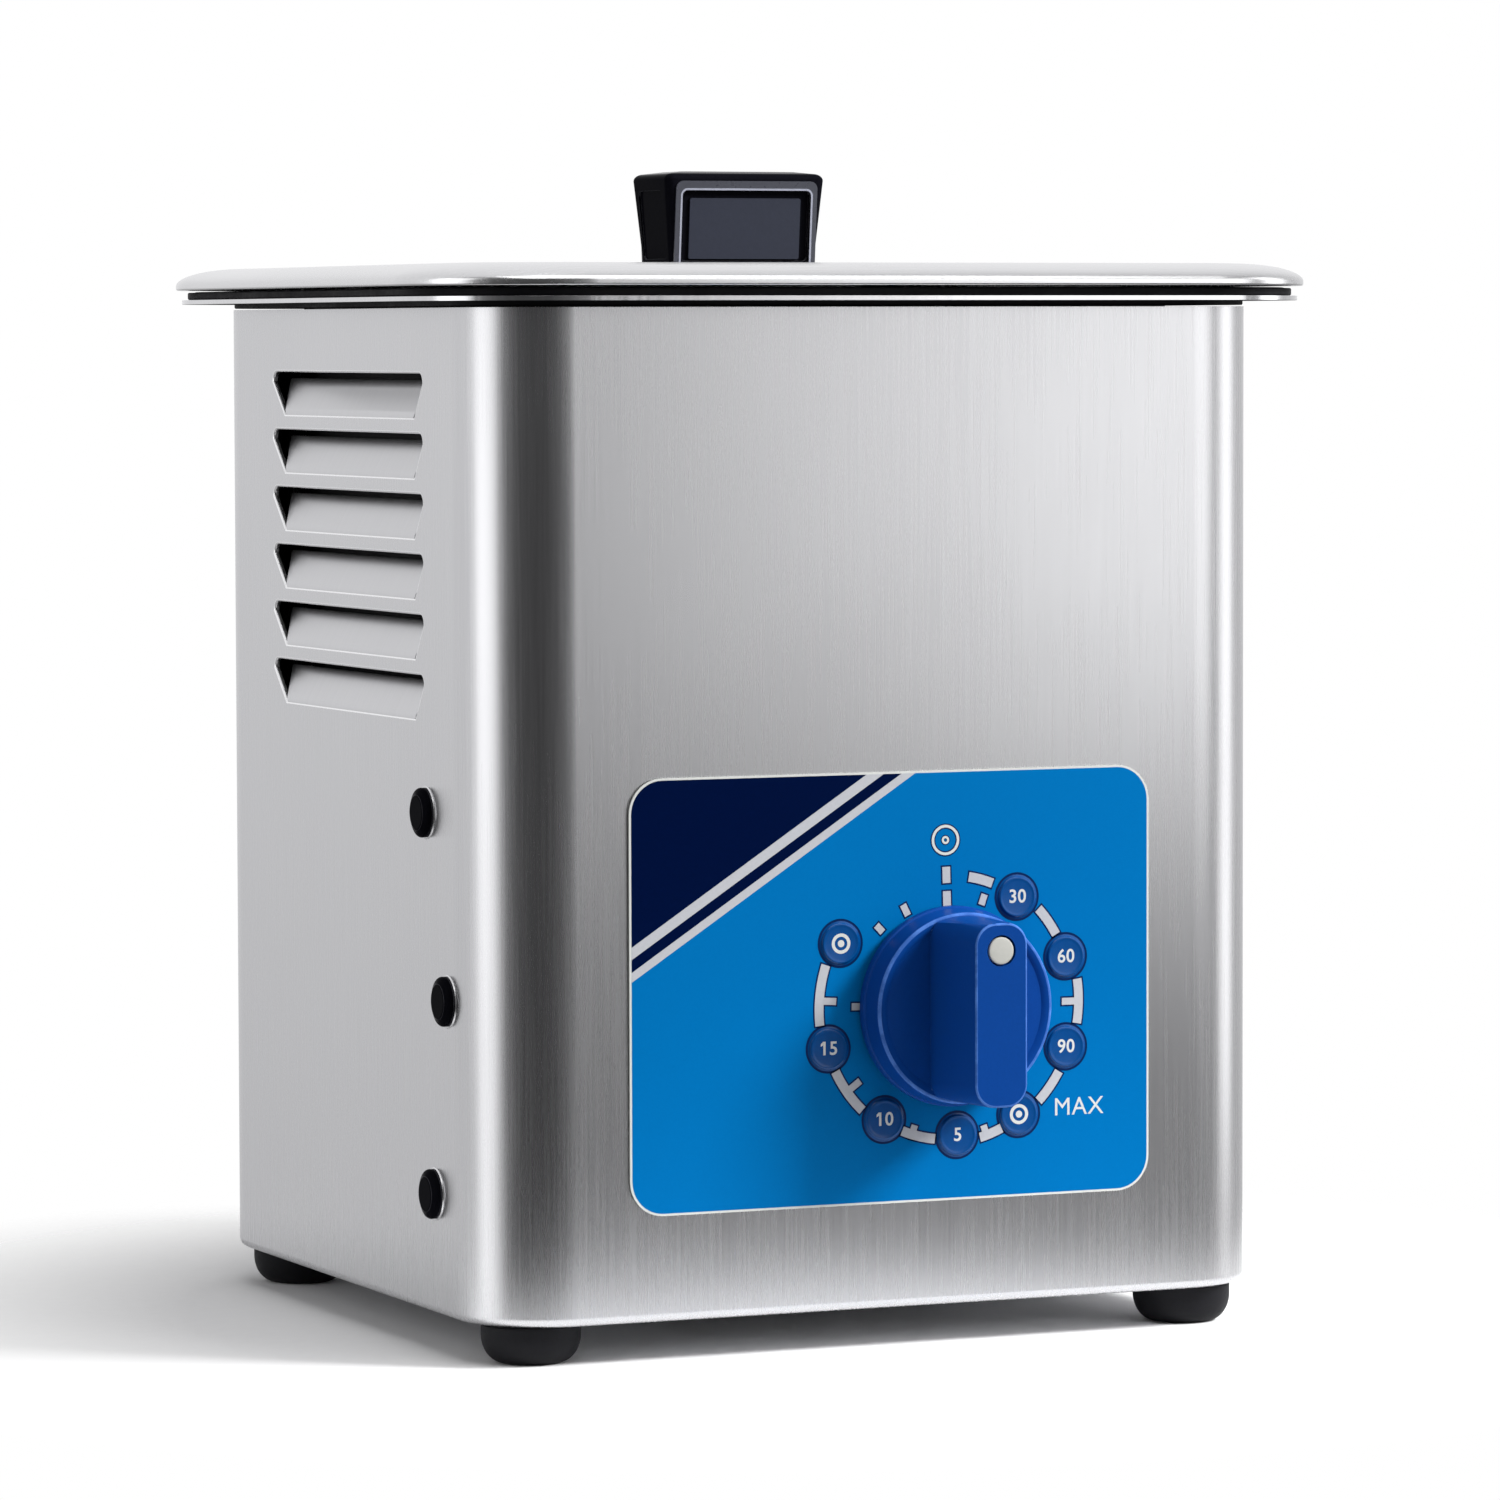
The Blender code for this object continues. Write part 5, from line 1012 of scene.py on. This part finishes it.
def make_dial():
    """Arcs, ticks and the off mark in pale ink over darker outlines, and the raised numbered dots."""
    bands = [arc_band(start, end, radius * MM) for start, end, radius in ARCS]
    marks = [tick(degrees, inner * MM, outer * MM) for degrees, inner, outer in KNOB_TICKS]
    marks += [tick(OFF_ANGLE, inner * MM, outer * MM, 1.7 * MM) for inner, outer in OFF_DASHES]
    ticks = [tick(degrees, inner * MM, outer * MM) for degrees, inner, outer in ARC_TICKS]
    for index, outline in enumerate(bands + marks + ticks):
        layer = 4 if outline in ticks else 3
        print_layer(f"dial_mark_{index + 1}", [outline], "overlay_silver", layer)
        print_layer(f"dial_outline_{index + 1}", [grow(outline, 0.32 * MM)], "overlay_outline", 2)
    off = dial_point(OFF_ANGLE, OFF_RADIUS)
    for name, radii, material, layer in (("off_ring_outline", (3.25, 2.2), "overlay_outline", 2),
                                         ("off_ring", (3.0, 2.45), "overlay_cream", 3),
                                         ("off_centre_outline", (1.0, 0.2), "overlay_outline", 2),
                                         ("off_centre", (0.8, 0.35), "overlay_cream", 3)):
        outer, inner = (circle(radius * MM, off, 48) for radius in radii)
        print_layer(name, [outer, inner], material, layer)
    text("max_mark", "MAX", 5.0 * MM, MAX_PLACE, PANEL_FACE + PRINT, 0.0)
    for degrees, radius, label in DIAL:
        make_dot(degrees, radius * MM, label)


def grow(outline, margin):
    """Pushes an outline's points away from its edges by a margin."""
    grown = []
    count = len(outline)
    turning = sum(a[0] * b[1] - b[0] * a[1] for a, b in zip(outline, outline[1:] + outline[:1]))
    sign = 1 if turning > 0 else -1
    for index, point in enumerate(outline):
        before = Vector(outline[index - 1])
        after = Vector(outline[(index + 1) % count])
        here = Vector(point)
        first = (here - before).normalized()
        second = (after - here).normalized()
        normal_a = Vector((first.y, -first.x)) * sign
        normal_b = Vector((second.y, -second.x)) * sign
        bisector = normal_a + normal_b
        bisector *= margin / max(0.35, bisector.dot(normal_a))
        grown.append((here.x + bisector.x, here.y + bisector.y))
    return grown


def make_dot(degrees, radius, label):
    """A raised, slightly dished dial dot with a dark ring round its foot, painted shade at its edge, and its
    number.
    """
    centre = dial_point(degrees, radius)
    name = f"dial_dot_{degrees}"
    # The dark ring round the dot is painted shade where the raised dot's edge meets the panel.
    shade_ring = [circle(DOT_RADIUS + 0.45 * MM, centre, 64)]
    print_layer(name + "_shade_ring", shade_ring, "overlay_outline", 2)
    rise = 0.42 * MM
    profile = [(0, rise - 0.08 * MM), (DOT_RADIUS - 1.3 * MM, rise - 0.06 * MM)]
    profile += arc((DOT_RADIUS - 0.75 * MM, rise - 0.42 * MM), 0.45 * MM, 110, 10, 8)
    profile += [(DOT_RADIUS, 0.0), (0, 0.0)]
    low = PANEL_FACE + 2 * PRINT + 0.004 * MM
    place = PANEL_FRAME @ at((*centre, low))
    add_piece(name, lathe(name, profile, 64), place, "overlay_dot", "machine")
    face = low + rise - 0.075 * MM
    if label:
        text(name + "_number", label, 3.7 * MM, centre, face)
    else:
        for part, radii in (("ring", (2.0, 1.35)), ("pip", (0.7,))):
            outlines = [circle(size * MM, centre, 40) for size in radii]
            add_flat(f"{name}_{part}", plate("mark", outlines, face, face + PRINT), "overlay_cream")


def figure_one_flag(mesh):
    """The slanting stroke at the head of a figure one, beside the stem that leads the number."""
    across, up, out = zip(*(vertex.co for vertex in mesh.vertices))
    left = min(across)
    top = max(up)
    reach = 0.20 * (top - min(up))
    outline = [(left - reach, top - 1.75 * reach), (left + 0.1 * reach, top - 1.15 * reach),
               (left + 0.1 * reach, top), (left - 0.1 * reach, top), (left - reach, top - 0.85 * reach)]
    return plate("flag", [outline], min(out), max(out))


def text(name, body, size, centre, height, boldness=0.016):
    """Printed numbers or letters, bold, centred on a point of the panel."""
    curve = bpy.data.curves.new(name, "FONT")
    curve.body = body
    curve.size = size
    curve.align_x = "CENTER"
    curve.align_y = "CENTER"
    curve.offset = size * boldness
    curve.extrude = PRINT / 2
    curve.resolution_u = 5
    curve.space_character = 1.06
    mesh = mesh_of_curve(name, curve, height + PRINT / 2 + 0.003 * MM)
    if body.startswith("1"):
        mesh = join_meshes(name, [(mesh, FLAT), (figure_one_flag(mesh), FLAT)])
    add_flat(name, mesh, "overlay_cream", place=PANEL_FRAME @ at((*centre, 0)))


# Timer knob

KNOB_RADIUS = 19.8 * MM
KNOB_DISC = 8.2 * MM
KNOB_SEAT = 1.3 * MM
KNOB_REACH = 24.5 * MM
GRIP_BASE = 15.8 * MM
GRIP_NOSE = 11.2 * MM
GRIP_NOSE_RADIUS = 18.0 * MM
GRIP_EDGE = 0.45 * MM
KNOB_HOLLOW = 8.5 * MM
KNOB_BORE = 3.1 * MM
KNOB_DOT = 2.7 * MM
KNOB_DOT_WELL = KNOB_DOT + 0.36 * MM
KNOB_DOT_OFFSET = 12.6 * MM
KNOB_FRAME = at(TIMER_POINT, FACING_FRONT)


def make_knob():
    """A skirted knob with a raised rim and a drafted grip bar with round ends."""
    rim = KNOB_RADIUS - 0.9 * MM
    profile = [(0, KNOB_DISC - 0.5 * MM), (rim - 2.2 * MM, KNOB_DISC - 0.5 * MM),
               (rim - 1.5 * MM, KNOB_DISC - 0.1 * MM)]
    profile += arc((rim - 0.6 * MM, KNOB_DISC - 0.6 * MM), 0.6 * MM, 100, 5, 6)
    profile += [(KNOB_RADIUS - 0.35 * MM, KNOB_SEAT + 2.2 * MM), (KNOB_RADIUS, KNOB_SEAT + 1.8 * MM),
                (KNOB_RADIUS, KNOB_SEAT + 0.2 * MM), (KNOB_RADIUS - 0.2 * MM, KNOB_SEAT), (0, KNOB_SEAT)]
    knob = add_object("dial_knob", lathe("dial_knob", profile, 128), KNOB_FRAME, "blue_plastic")
    boolean(knob, grip_bar(), "UNION")
    dot_frame = KNOB_FRAME @ at((0, KNOB_DOT_OFFSET, 0))
    cut(knob, rod(KNOB_HOLLOW, 64, -2 * MM, 5.2 * MM), KNOB_FRAME)
    cut(knob, rod(KNOB_BORE, 48, 3 * MM, 18 * MM), KNOB_FRAME)
    cut(knob, rod(KNOB_DOT_WELL, 64, KNOB_REACH - 1.0 * MM, KNOB_REACH + 2 * MM), dot_frame)
    bevel(knob, 0.35 * MM, 3, 28)
    finish_piece(knob, "timer", ["timer_knob"], 30)
    dot_profile = [(0, KNOB_REACH), (KNOB_DOT - 0.5 * MM, KNOB_REACH - 0.04 * MM)]
    dot_profile += arc((KNOB_DOT - 0.3 * MM, KNOB_REACH - 0.36 * MM), 0.3 * MM, 80, 0, 6)
    dot_profile += [(KNOB_DOT, KNOB_REACH - 0.8 * MM), (0, KNOB_REACH - 0.8 * MM)]
    dot = lathe("pointer_dot", dot_profile, 64)
    add_piece("pointer_dot", dot, dot_frame, "cream_plastic", "timer", ["knob_dot"])


def grip_bar():
    """The grip: a drafted bar with round corners, trimmed so that its ends follow the disc."""
    low = KNOB_SEAT + 2 * MM
    rings = [level_ring(GRIP_BASE, 2 * KNOB_RADIUS, 5.6 * MM, low, 12)]
    edge = bend((0, KNOB_REACH - GRIP_EDGE), (GRIP_EDGE, KNOB_REACH), 4, upright=True)
    rings += inset_rings(GRIP_NOSE, 2 * GRIP_NOSE_RADIUS, 4.4 * MM, edge, 12)
    grip = add_object("grip", loft("grip", rings, True, True), KNOB_FRAME)
    trim = [(0, KNOB_REACH + MM), (GRIP_NOSE_RADIUS, KNOB_REACH + MM),
            (GRIP_NOSE_RADIUS, KNOB_REACH - 0.2 * MM), (KNOB_RADIUS - 1.5 * MM, KNOB_DISC),
            (KNOB_RADIUS - 1.3 * MM, KNOB_SEAT + MM), (0, KNOB_SEAT + MM)]
    boolean(grip, add_object("trim", lathe("trim", trim, 128), KNOB_FRAME), "INTERSECT")
    return grip


# Back and underside

# Slots of the three blades, from the inlet's middle
BLADE_PLACES = ((7 * MM, 2.6 * MM), (0, 6.6 * MM), (-7 * MM, 2.6 * MM))


def make_inlet():
    """The mains inlet: flange, shrouded socket, blades, screws and the slot for the fuse drawer."""
    place = at(INLET_POINT, FACING_BACK)
    high = INLET_HIGH.y - BACK
    body_depth = BACK - INLET_LOW.y
    outline = rounded_rectangle(INLET_HIGH.x - INLET_LOW.x, INLET_HIGH.z - INLET_LOW.z, 5 * MM, 10)
    flange = add_object("inlet_flange", plate("inlet_flange", [outline], GAP, high), place, "black_satin")
    body_size = (INLET_HOLE[0] - 2 * GAP, INLET_HOLE[1] - 2 * GAP, body_depth + 2 * MM)
    body = box_mesh("body", body_size, (0, 0, -body_depth / 2 + 1 * MM))
    boolean(flange, add_object("body", body, place), "UNION")
    lift = 4.6 * MM
    half_width, half_height, chamfer = 12.2 * MM, 8.2 * MM, 4 * MM
    socket = [(half_width, lift - half_height), (half_width, lift + half_height - chamfer),
              (half_width - chamfer, lift + half_height), (chamfer - half_width, lift + half_height),
              (-half_width, lift + half_height - chamfer), (-half_width, lift - half_height)]
    cut(flange, plate("socket", [socket], high - 16.5 * MM, high + 2 * MM), place)
    drawer_slot = box_mesh("slot", (24.6 * MM, 7.2 * MM, 17.3 * MM))
    blade_slot = box_mesh("slot", (2.6 * MM, 4.6 * MM, 12 * MM))
    cuts = [(drawer_slot, at((0, -9.4 * MM, high + 2 * MM - 8.65 * MM)))]
    cuts += [(rod(SCREW_HOLE), at((x, 0, 0))) for x in (-20 * MM, 20 * MM)]
    cuts += [(blade_slot, at((x, y, -body_depth + 2 * MM))) for x, y in BLADE_PLACES]
    cut(flange, join_meshes("slots", cuts), place)
    bevel(flange, 0.35 * MM, 2, 40)
    finish_piece(flange, "machine", ["power_inlet"], 35)
    for name in ("inlet_pin_live", "inlet_pin_earth", "inlet_pin_neutral"):
        low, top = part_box(name)
        blade = add_object(name + "_blade", box_mesh(name, top - low, (low + top) / 2), FLAT, "brass")
        bevel(blade, 0.45 * MM, 3, 40)
        finish_piece(blade, "machine", [name])
    for name in ("inlet_screw_left", "inlet_screw_right"):
        middle = middle_of(name)
        turned = FACING_BACK @ Matrix.Rotation(math.pi, 4, "X")
        make_screw(name + "_head", -high - GAP, 9.5 * MM, at((middle.x, BACK, middle.z), turned), "machine",
                   name)


def make_fuse_drawer():
    """The drawer's tray and its ribbed pull lip."""
    middle = middle_of("fuse_drawer")
    place = at((middle.x, BACK, middle.z), FACING_BACK)
    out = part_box("fuse_drawer")[1].y - BACK
    lip_low = out - 1.5 * MM
    box = box_mesh("drawer_tray", (24 * MM, 6.6 * MM, 15 * MM), (0, 0, lip_low - 7.3 * MM))
    tray = add_object("drawer_tray", box, place, "black_satin")
    front = plate("lip", [rounded_rectangle(26 * MM, 8 * MM, 1 * MM, 6)], lip_low, out)
    boolean(tray, add_object("lip", front, place), "UNION")
    pocket = box_mesh("pocket", (20.6 * MM, 6.6 * MM, 5.6 * MM), (0, 1.0 * MM, lip_low - 8 * MM))
    cut(tray, pocket, place)
    groove = box_mesh("groove", (14 * MM, 0.5 * MM, 0.8 * MM))
    grooves = [(groove, at((0, y, out))) for y in (-1.6 * MM, -0.2 * MM, 1.2 * MM)]
    cut(tray, join_meshes("grooves", grooves), place)
    bevel(tray, 0.2 * MM, 2, 40)
    finish_piece(tray, "fuse_carrier", ["fuse_drawer"])


def make_fuse():
    """A glass fuse with a metal cap on each end."""
    low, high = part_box("fuse_cartridge")
    middle = middle_of("fuse_cartridge")
    along_x = Matrix.Rotation(math.radians(90), 4, "Y")
    half = (high.x - low.x) / 2
    radius = (high.z - low.z) / 2
    glass = [(0, half - 4.6 * MM), (radius - 0.35 * MM, half - 4.6 * MM),
             (radius - 0.35 * MM, 4.6 * MM - half), (0, 4.6 * MM - half)]
    tube = lathe("fuse_tube", glass, 40)
    add_piece("fuse_tube", tube, at(middle, along_x), "fuse_glass", "fuse_carrier",
              ["fuse_cartridge"])
    bore = radius - 0.3 * MM
    profile = [(0, half), (radius - 0.25 * MM, half), (radius, half - 0.25 * MM), (radius, half - 5 * MM),
               (bore, half - 5 * MM), (bore, half - 4.7 * MM), (0, half - 4.7 * MM)]
    for name, side in (("left", -1), ("right", 1)):
        place = at(middle, Matrix.Rotation(math.radians(90 * side), 4, "Y"))
        cap = lathe("fuse_cap", profile, 40)
        add_piece("fuse_cap_" + name, cap, place, "polished_steel", "fuse_carrier")


def make_base_plate():
    """The plate under the cabinet with its vent slots, each with a rolled edge."""
    low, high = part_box("base_plate")
    width, depth, _ = high - low
    outlines = [rounded_rectangle(width, depth, 15.9 * MM, 12)]
    outlines += [rounded_rectangle(5 * MM, 30 * MM, 2.4 * MM, 8, (index * 14 * MM, -34 * MM))
                 for index in range(-2, 3)]
    for corner in FEET:
        point = foot_point(corner)
        outlines.append(circle(SCREW_HOLE, (point.x - CENTRE.x, point.y - CENTRE.y), 32))
    mesh = plate("floor_plate", outlines, low.z - BOTTOM, high.z - BOTTOM)
    base = add_object("floor_plate", mesh, CABINET_FRAME, "zinc_plate")
    bevel(base, 0.2 * MM, 2, 50)
    finish_piece(base, "machine", ["base_plate"], 35)


def dress_cad_nodes():
    """Gives every CAD node that stays its own material in place of the flat one."""
    slots = {entry["node"]: entry["material_slot"] for entry in frame["record"]["subparts"]}
    for name, obj in frame["nodes"].items():
        if obj.hide_render:
            continue
        obj.data.materials.clear()
        obj.data.materials.append(MATERIALS[slots[name]])
        obj.data.shade_smooth()
        obj.data.set_sharp_from_angle(angle=math.radians(35))


# Stage, lights and camera

CAMERA_PLACE = (-0.58197, -1.34315, 0.19144)
CAMERA_HEADING = math.radians(23.59)
CAMERA_DROP = math.radians(3.34)
CAMERA_ROLL = math.radians(-0.16)
CAMERA_LENS = 170.5
CAMERA_SENSOR = 36.0
FLOOR_REACH = 3.0
# Distances from the origin between which the table fades out
FLOOR_FADE = (0.115, 0.22)
# Brightness of the studio's wall at each heading, in degrees clockwise from +Y
STUDIO_HORIZON = (
    (-180, 0.10), (-165, 0.06), (-125, 0.07), (-100, 0.3), (-70, 0.85), (-10, 0.90), (30, 1.0),
    (60, 0.75), (100, 0.45), (125, 0.35), (150, 0.30), (180, 0.10),
)
STUDIO_AMBIENT = 0.45


def make_stage():
    """A pale table that fades into the studio's white away from the machine."""
    corners = [(x * FLOOR_REACH, y * FLOOR_REACH, 0) for x, y in ((1, 1), (-1, 1), (-1, -1), (1, -1))]
    sheet = bpy.data.meshes.new("studio_floor")
    sheet.from_pydata(corners, [], [(0, 1, 2, 3)])
    floor = add_object("studio_floor", sheet)
    material = bpy.data.materials.new("studio_floor")
    material.use_nodes = True
    tree = material.node_tree
    shader = tree.nodes["Principled BSDF"]
    shader.inputs["Roughness"].default_value = 0.8
    shader.inputs["Specular IOR Level"].default_value = 0.1
    speckle = link_noise(tree, 300.0, (1, 1, 1), 4.0)
    tint = link_mix(tree, speckle.outputs["Fac"], (0.88, 0.88, 0.885), (0.92, 0.92, 0.925))
    tree.links.new(tint, shader.inputs["Base Color"])
    coordinates = tree.nodes.new("ShaderNodeTexCoord")
    distance = tree.nodes.new("ShaderNodeVectorMath")
    distance.operation = "LENGTH"
    tree.links.new(coordinates.outputs["Object"], distance.inputs[0])
    fade = link_range(tree, distance.outputs["Value"], 0.0, 1.0, *FLOOR_FADE)
    clear = tree.nodes.new("ShaderNodeBsdfTransparent")
    mix = tree.nodes.new("ShaderNodeMixShader")
    tree.links.new(fade, mix.inputs["Fac"])
    tree.links.new(shader.outputs["BSDF"], mix.inputs[1])
    tree.links.new(clear.outputs["BSDF"], mix.inputs[2])
    tree.links.new(mix.outputs["Shader"], tree.nodes["Material Output"].inputs["Surface"])
    floor.data.materials.append(material)


def area_light(name, place, target, size, radiance):
    """A softbox of even radiance, whatever its size, which the camera itself doesn't see."""
    light = bpy.data.lights.new(name, "AREA")
    light.shape = "RECTANGLE"
    light.size, light.size_y = size
    light.energy = radiance * math.pi * size[0] * size[1]
    obj = bpy.data.objects.new(name, light)
    bpy.context.scene.collection.objects.link(obj)
    obj.location = place
    obj.rotation_mode = "QUATERNION"
    obj.rotation_quaternion = (Vector(target) - Vector(place)).to_track_quat("-Z", "Y")
    obj.visible_camera = False
    return obj


def make_lights():
    """Softboxes that the metal mirrors, and a key light that it doesn't."""
    area_light("left_bank", (-1.35, -0.05, 0.45), (0, -0.05, 0.1), (0.74, 1.5), 1.25)
    area_light("front_right_bank", (0.68, -0.92, 0.46), (0.10, -0.07, 0.16), (0.66, 0.90), 1.5)
    area_light("right_bank", (1.15, -0.25, 0.45), (0, 0, 0.1), (0.5, 1.2), 1.6)
    area_light("overhead_bank", (0.0, -0.50, 1.15), (0, 0, 0.05), (1.1, 0.8), 2.6)
    key = area_light("key", (0.95, -0.75, 0.90), (0, -0.07, 0.1), (0.4, 0.4), 62.0)
    key.visible_glossy = False


def make_world():
    """A pale studio: white to the camera, graded by heading and by height in reflections."""
    world = bpy.data.worlds.new("studio")
    bpy.context.scene.world = world
    world.use_nodes = True
    tree = world.node_tree
    nodes, links = tree.nodes, tree.links
    background = nodes["Background"]
    coordinates = nodes.new("ShaderNodeTexCoord")
    split = nodes.new("ShaderNodeSeparateXYZ")
    links.new(coordinates.outputs["Generated"], split.inputs["Vector"])
    heading = link_math(tree, "ARCTAN2", split.outputs["X"], split.outputs["Y"])
    horizon = nodes.new("ShaderNodeValToRGB")
    ramp = horizon.color_ramp
    while len(ramp.elements) > 1:
        ramp.elements.remove(ramp.elements[-1])
    for index, (degrees, level) in enumerate(STUDIO_HORIZON):
        position = (degrees + 180) / 360
        element = ramp.elements[0] if index == 0 else ramp.elements.new(position)
        element.position = position
        element.color = (level, level, level * 1.01, 1)
    links.new(link_range(tree, heading, 0.0, 1.0, -math.pi, math.pi), horizon.inputs["Fac"])
    shaded = nodes.new("ShaderNodeVectorMath")
    shaded.operation = "SCALE"
    links.new(horizon.outputs["Color"], shaded.inputs[0])
    links.new(link_range(tree, split.outputs["Z"], 0.45, 1.0, -0.35, 0.0), shaded.inputs["Scale"])
    path = nodes.new("ShaderNodeLightPath")
    backdrop = link_mix(tree, path.outputs["Is Camera Ray"], shaded.outputs["Vector"], (1.0, 1.0, 1.0))
    links.new(backdrop, background.inputs["Color"])
    ambient = link_range(tree, path.outputs["Is Diffuse Ray"], 1.0, STUDIO_AMBIENT, 0.0, 1.0)
    links.new(ambient, background.inputs["Strength"])


def make_camera():
    """The viewpoint at the front left, a little above the machine."""
    data = bpy.data.cameras.new("camera")
    data.sensor_width = CAMERA_SENSOR
    data.lens = CAMERA_LENS
    data.clip_start = 0.05
    data.clip_end = 20
    camera = bpy.data.objects.new("camera", data)
    bpy.context.scene.collection.objects.link(camera)
    place = Vector(CAMERA_PLACE) + Vector((CENTRE.x, CENTRE.y, BOTTOM))
    camera.matrix_world = (
        Matrix.Translation(place)
        @ Matrix.Rotation(-CAMERA_HEADING, 4, "Z")
        @ Matrix.Rotation(math.radians(90) - CAMERA_DROP, 4, "X")
        @ Matrix.Rotation(CAMERA_ROLL, 4, "Z")
    )
    bpy.context.scene.camera = camera


make_cabinet()
make_plugs()
make_feet()
make_tank()
# A black band under the lid's edge: painted shade.
make_rim_shade_band()
make_gasket()
make_lid()
make_handle()
make_panel()
make_dial()
make_knob()
make_inlet()
make_fuse_drawer()
make_fuse()
make_base_plate()
dress_cad_nodes()
make_stage()
make_lights()
make_world()
make_camera()
bpy.context.scene.view_settings.view_transform = "Standard"
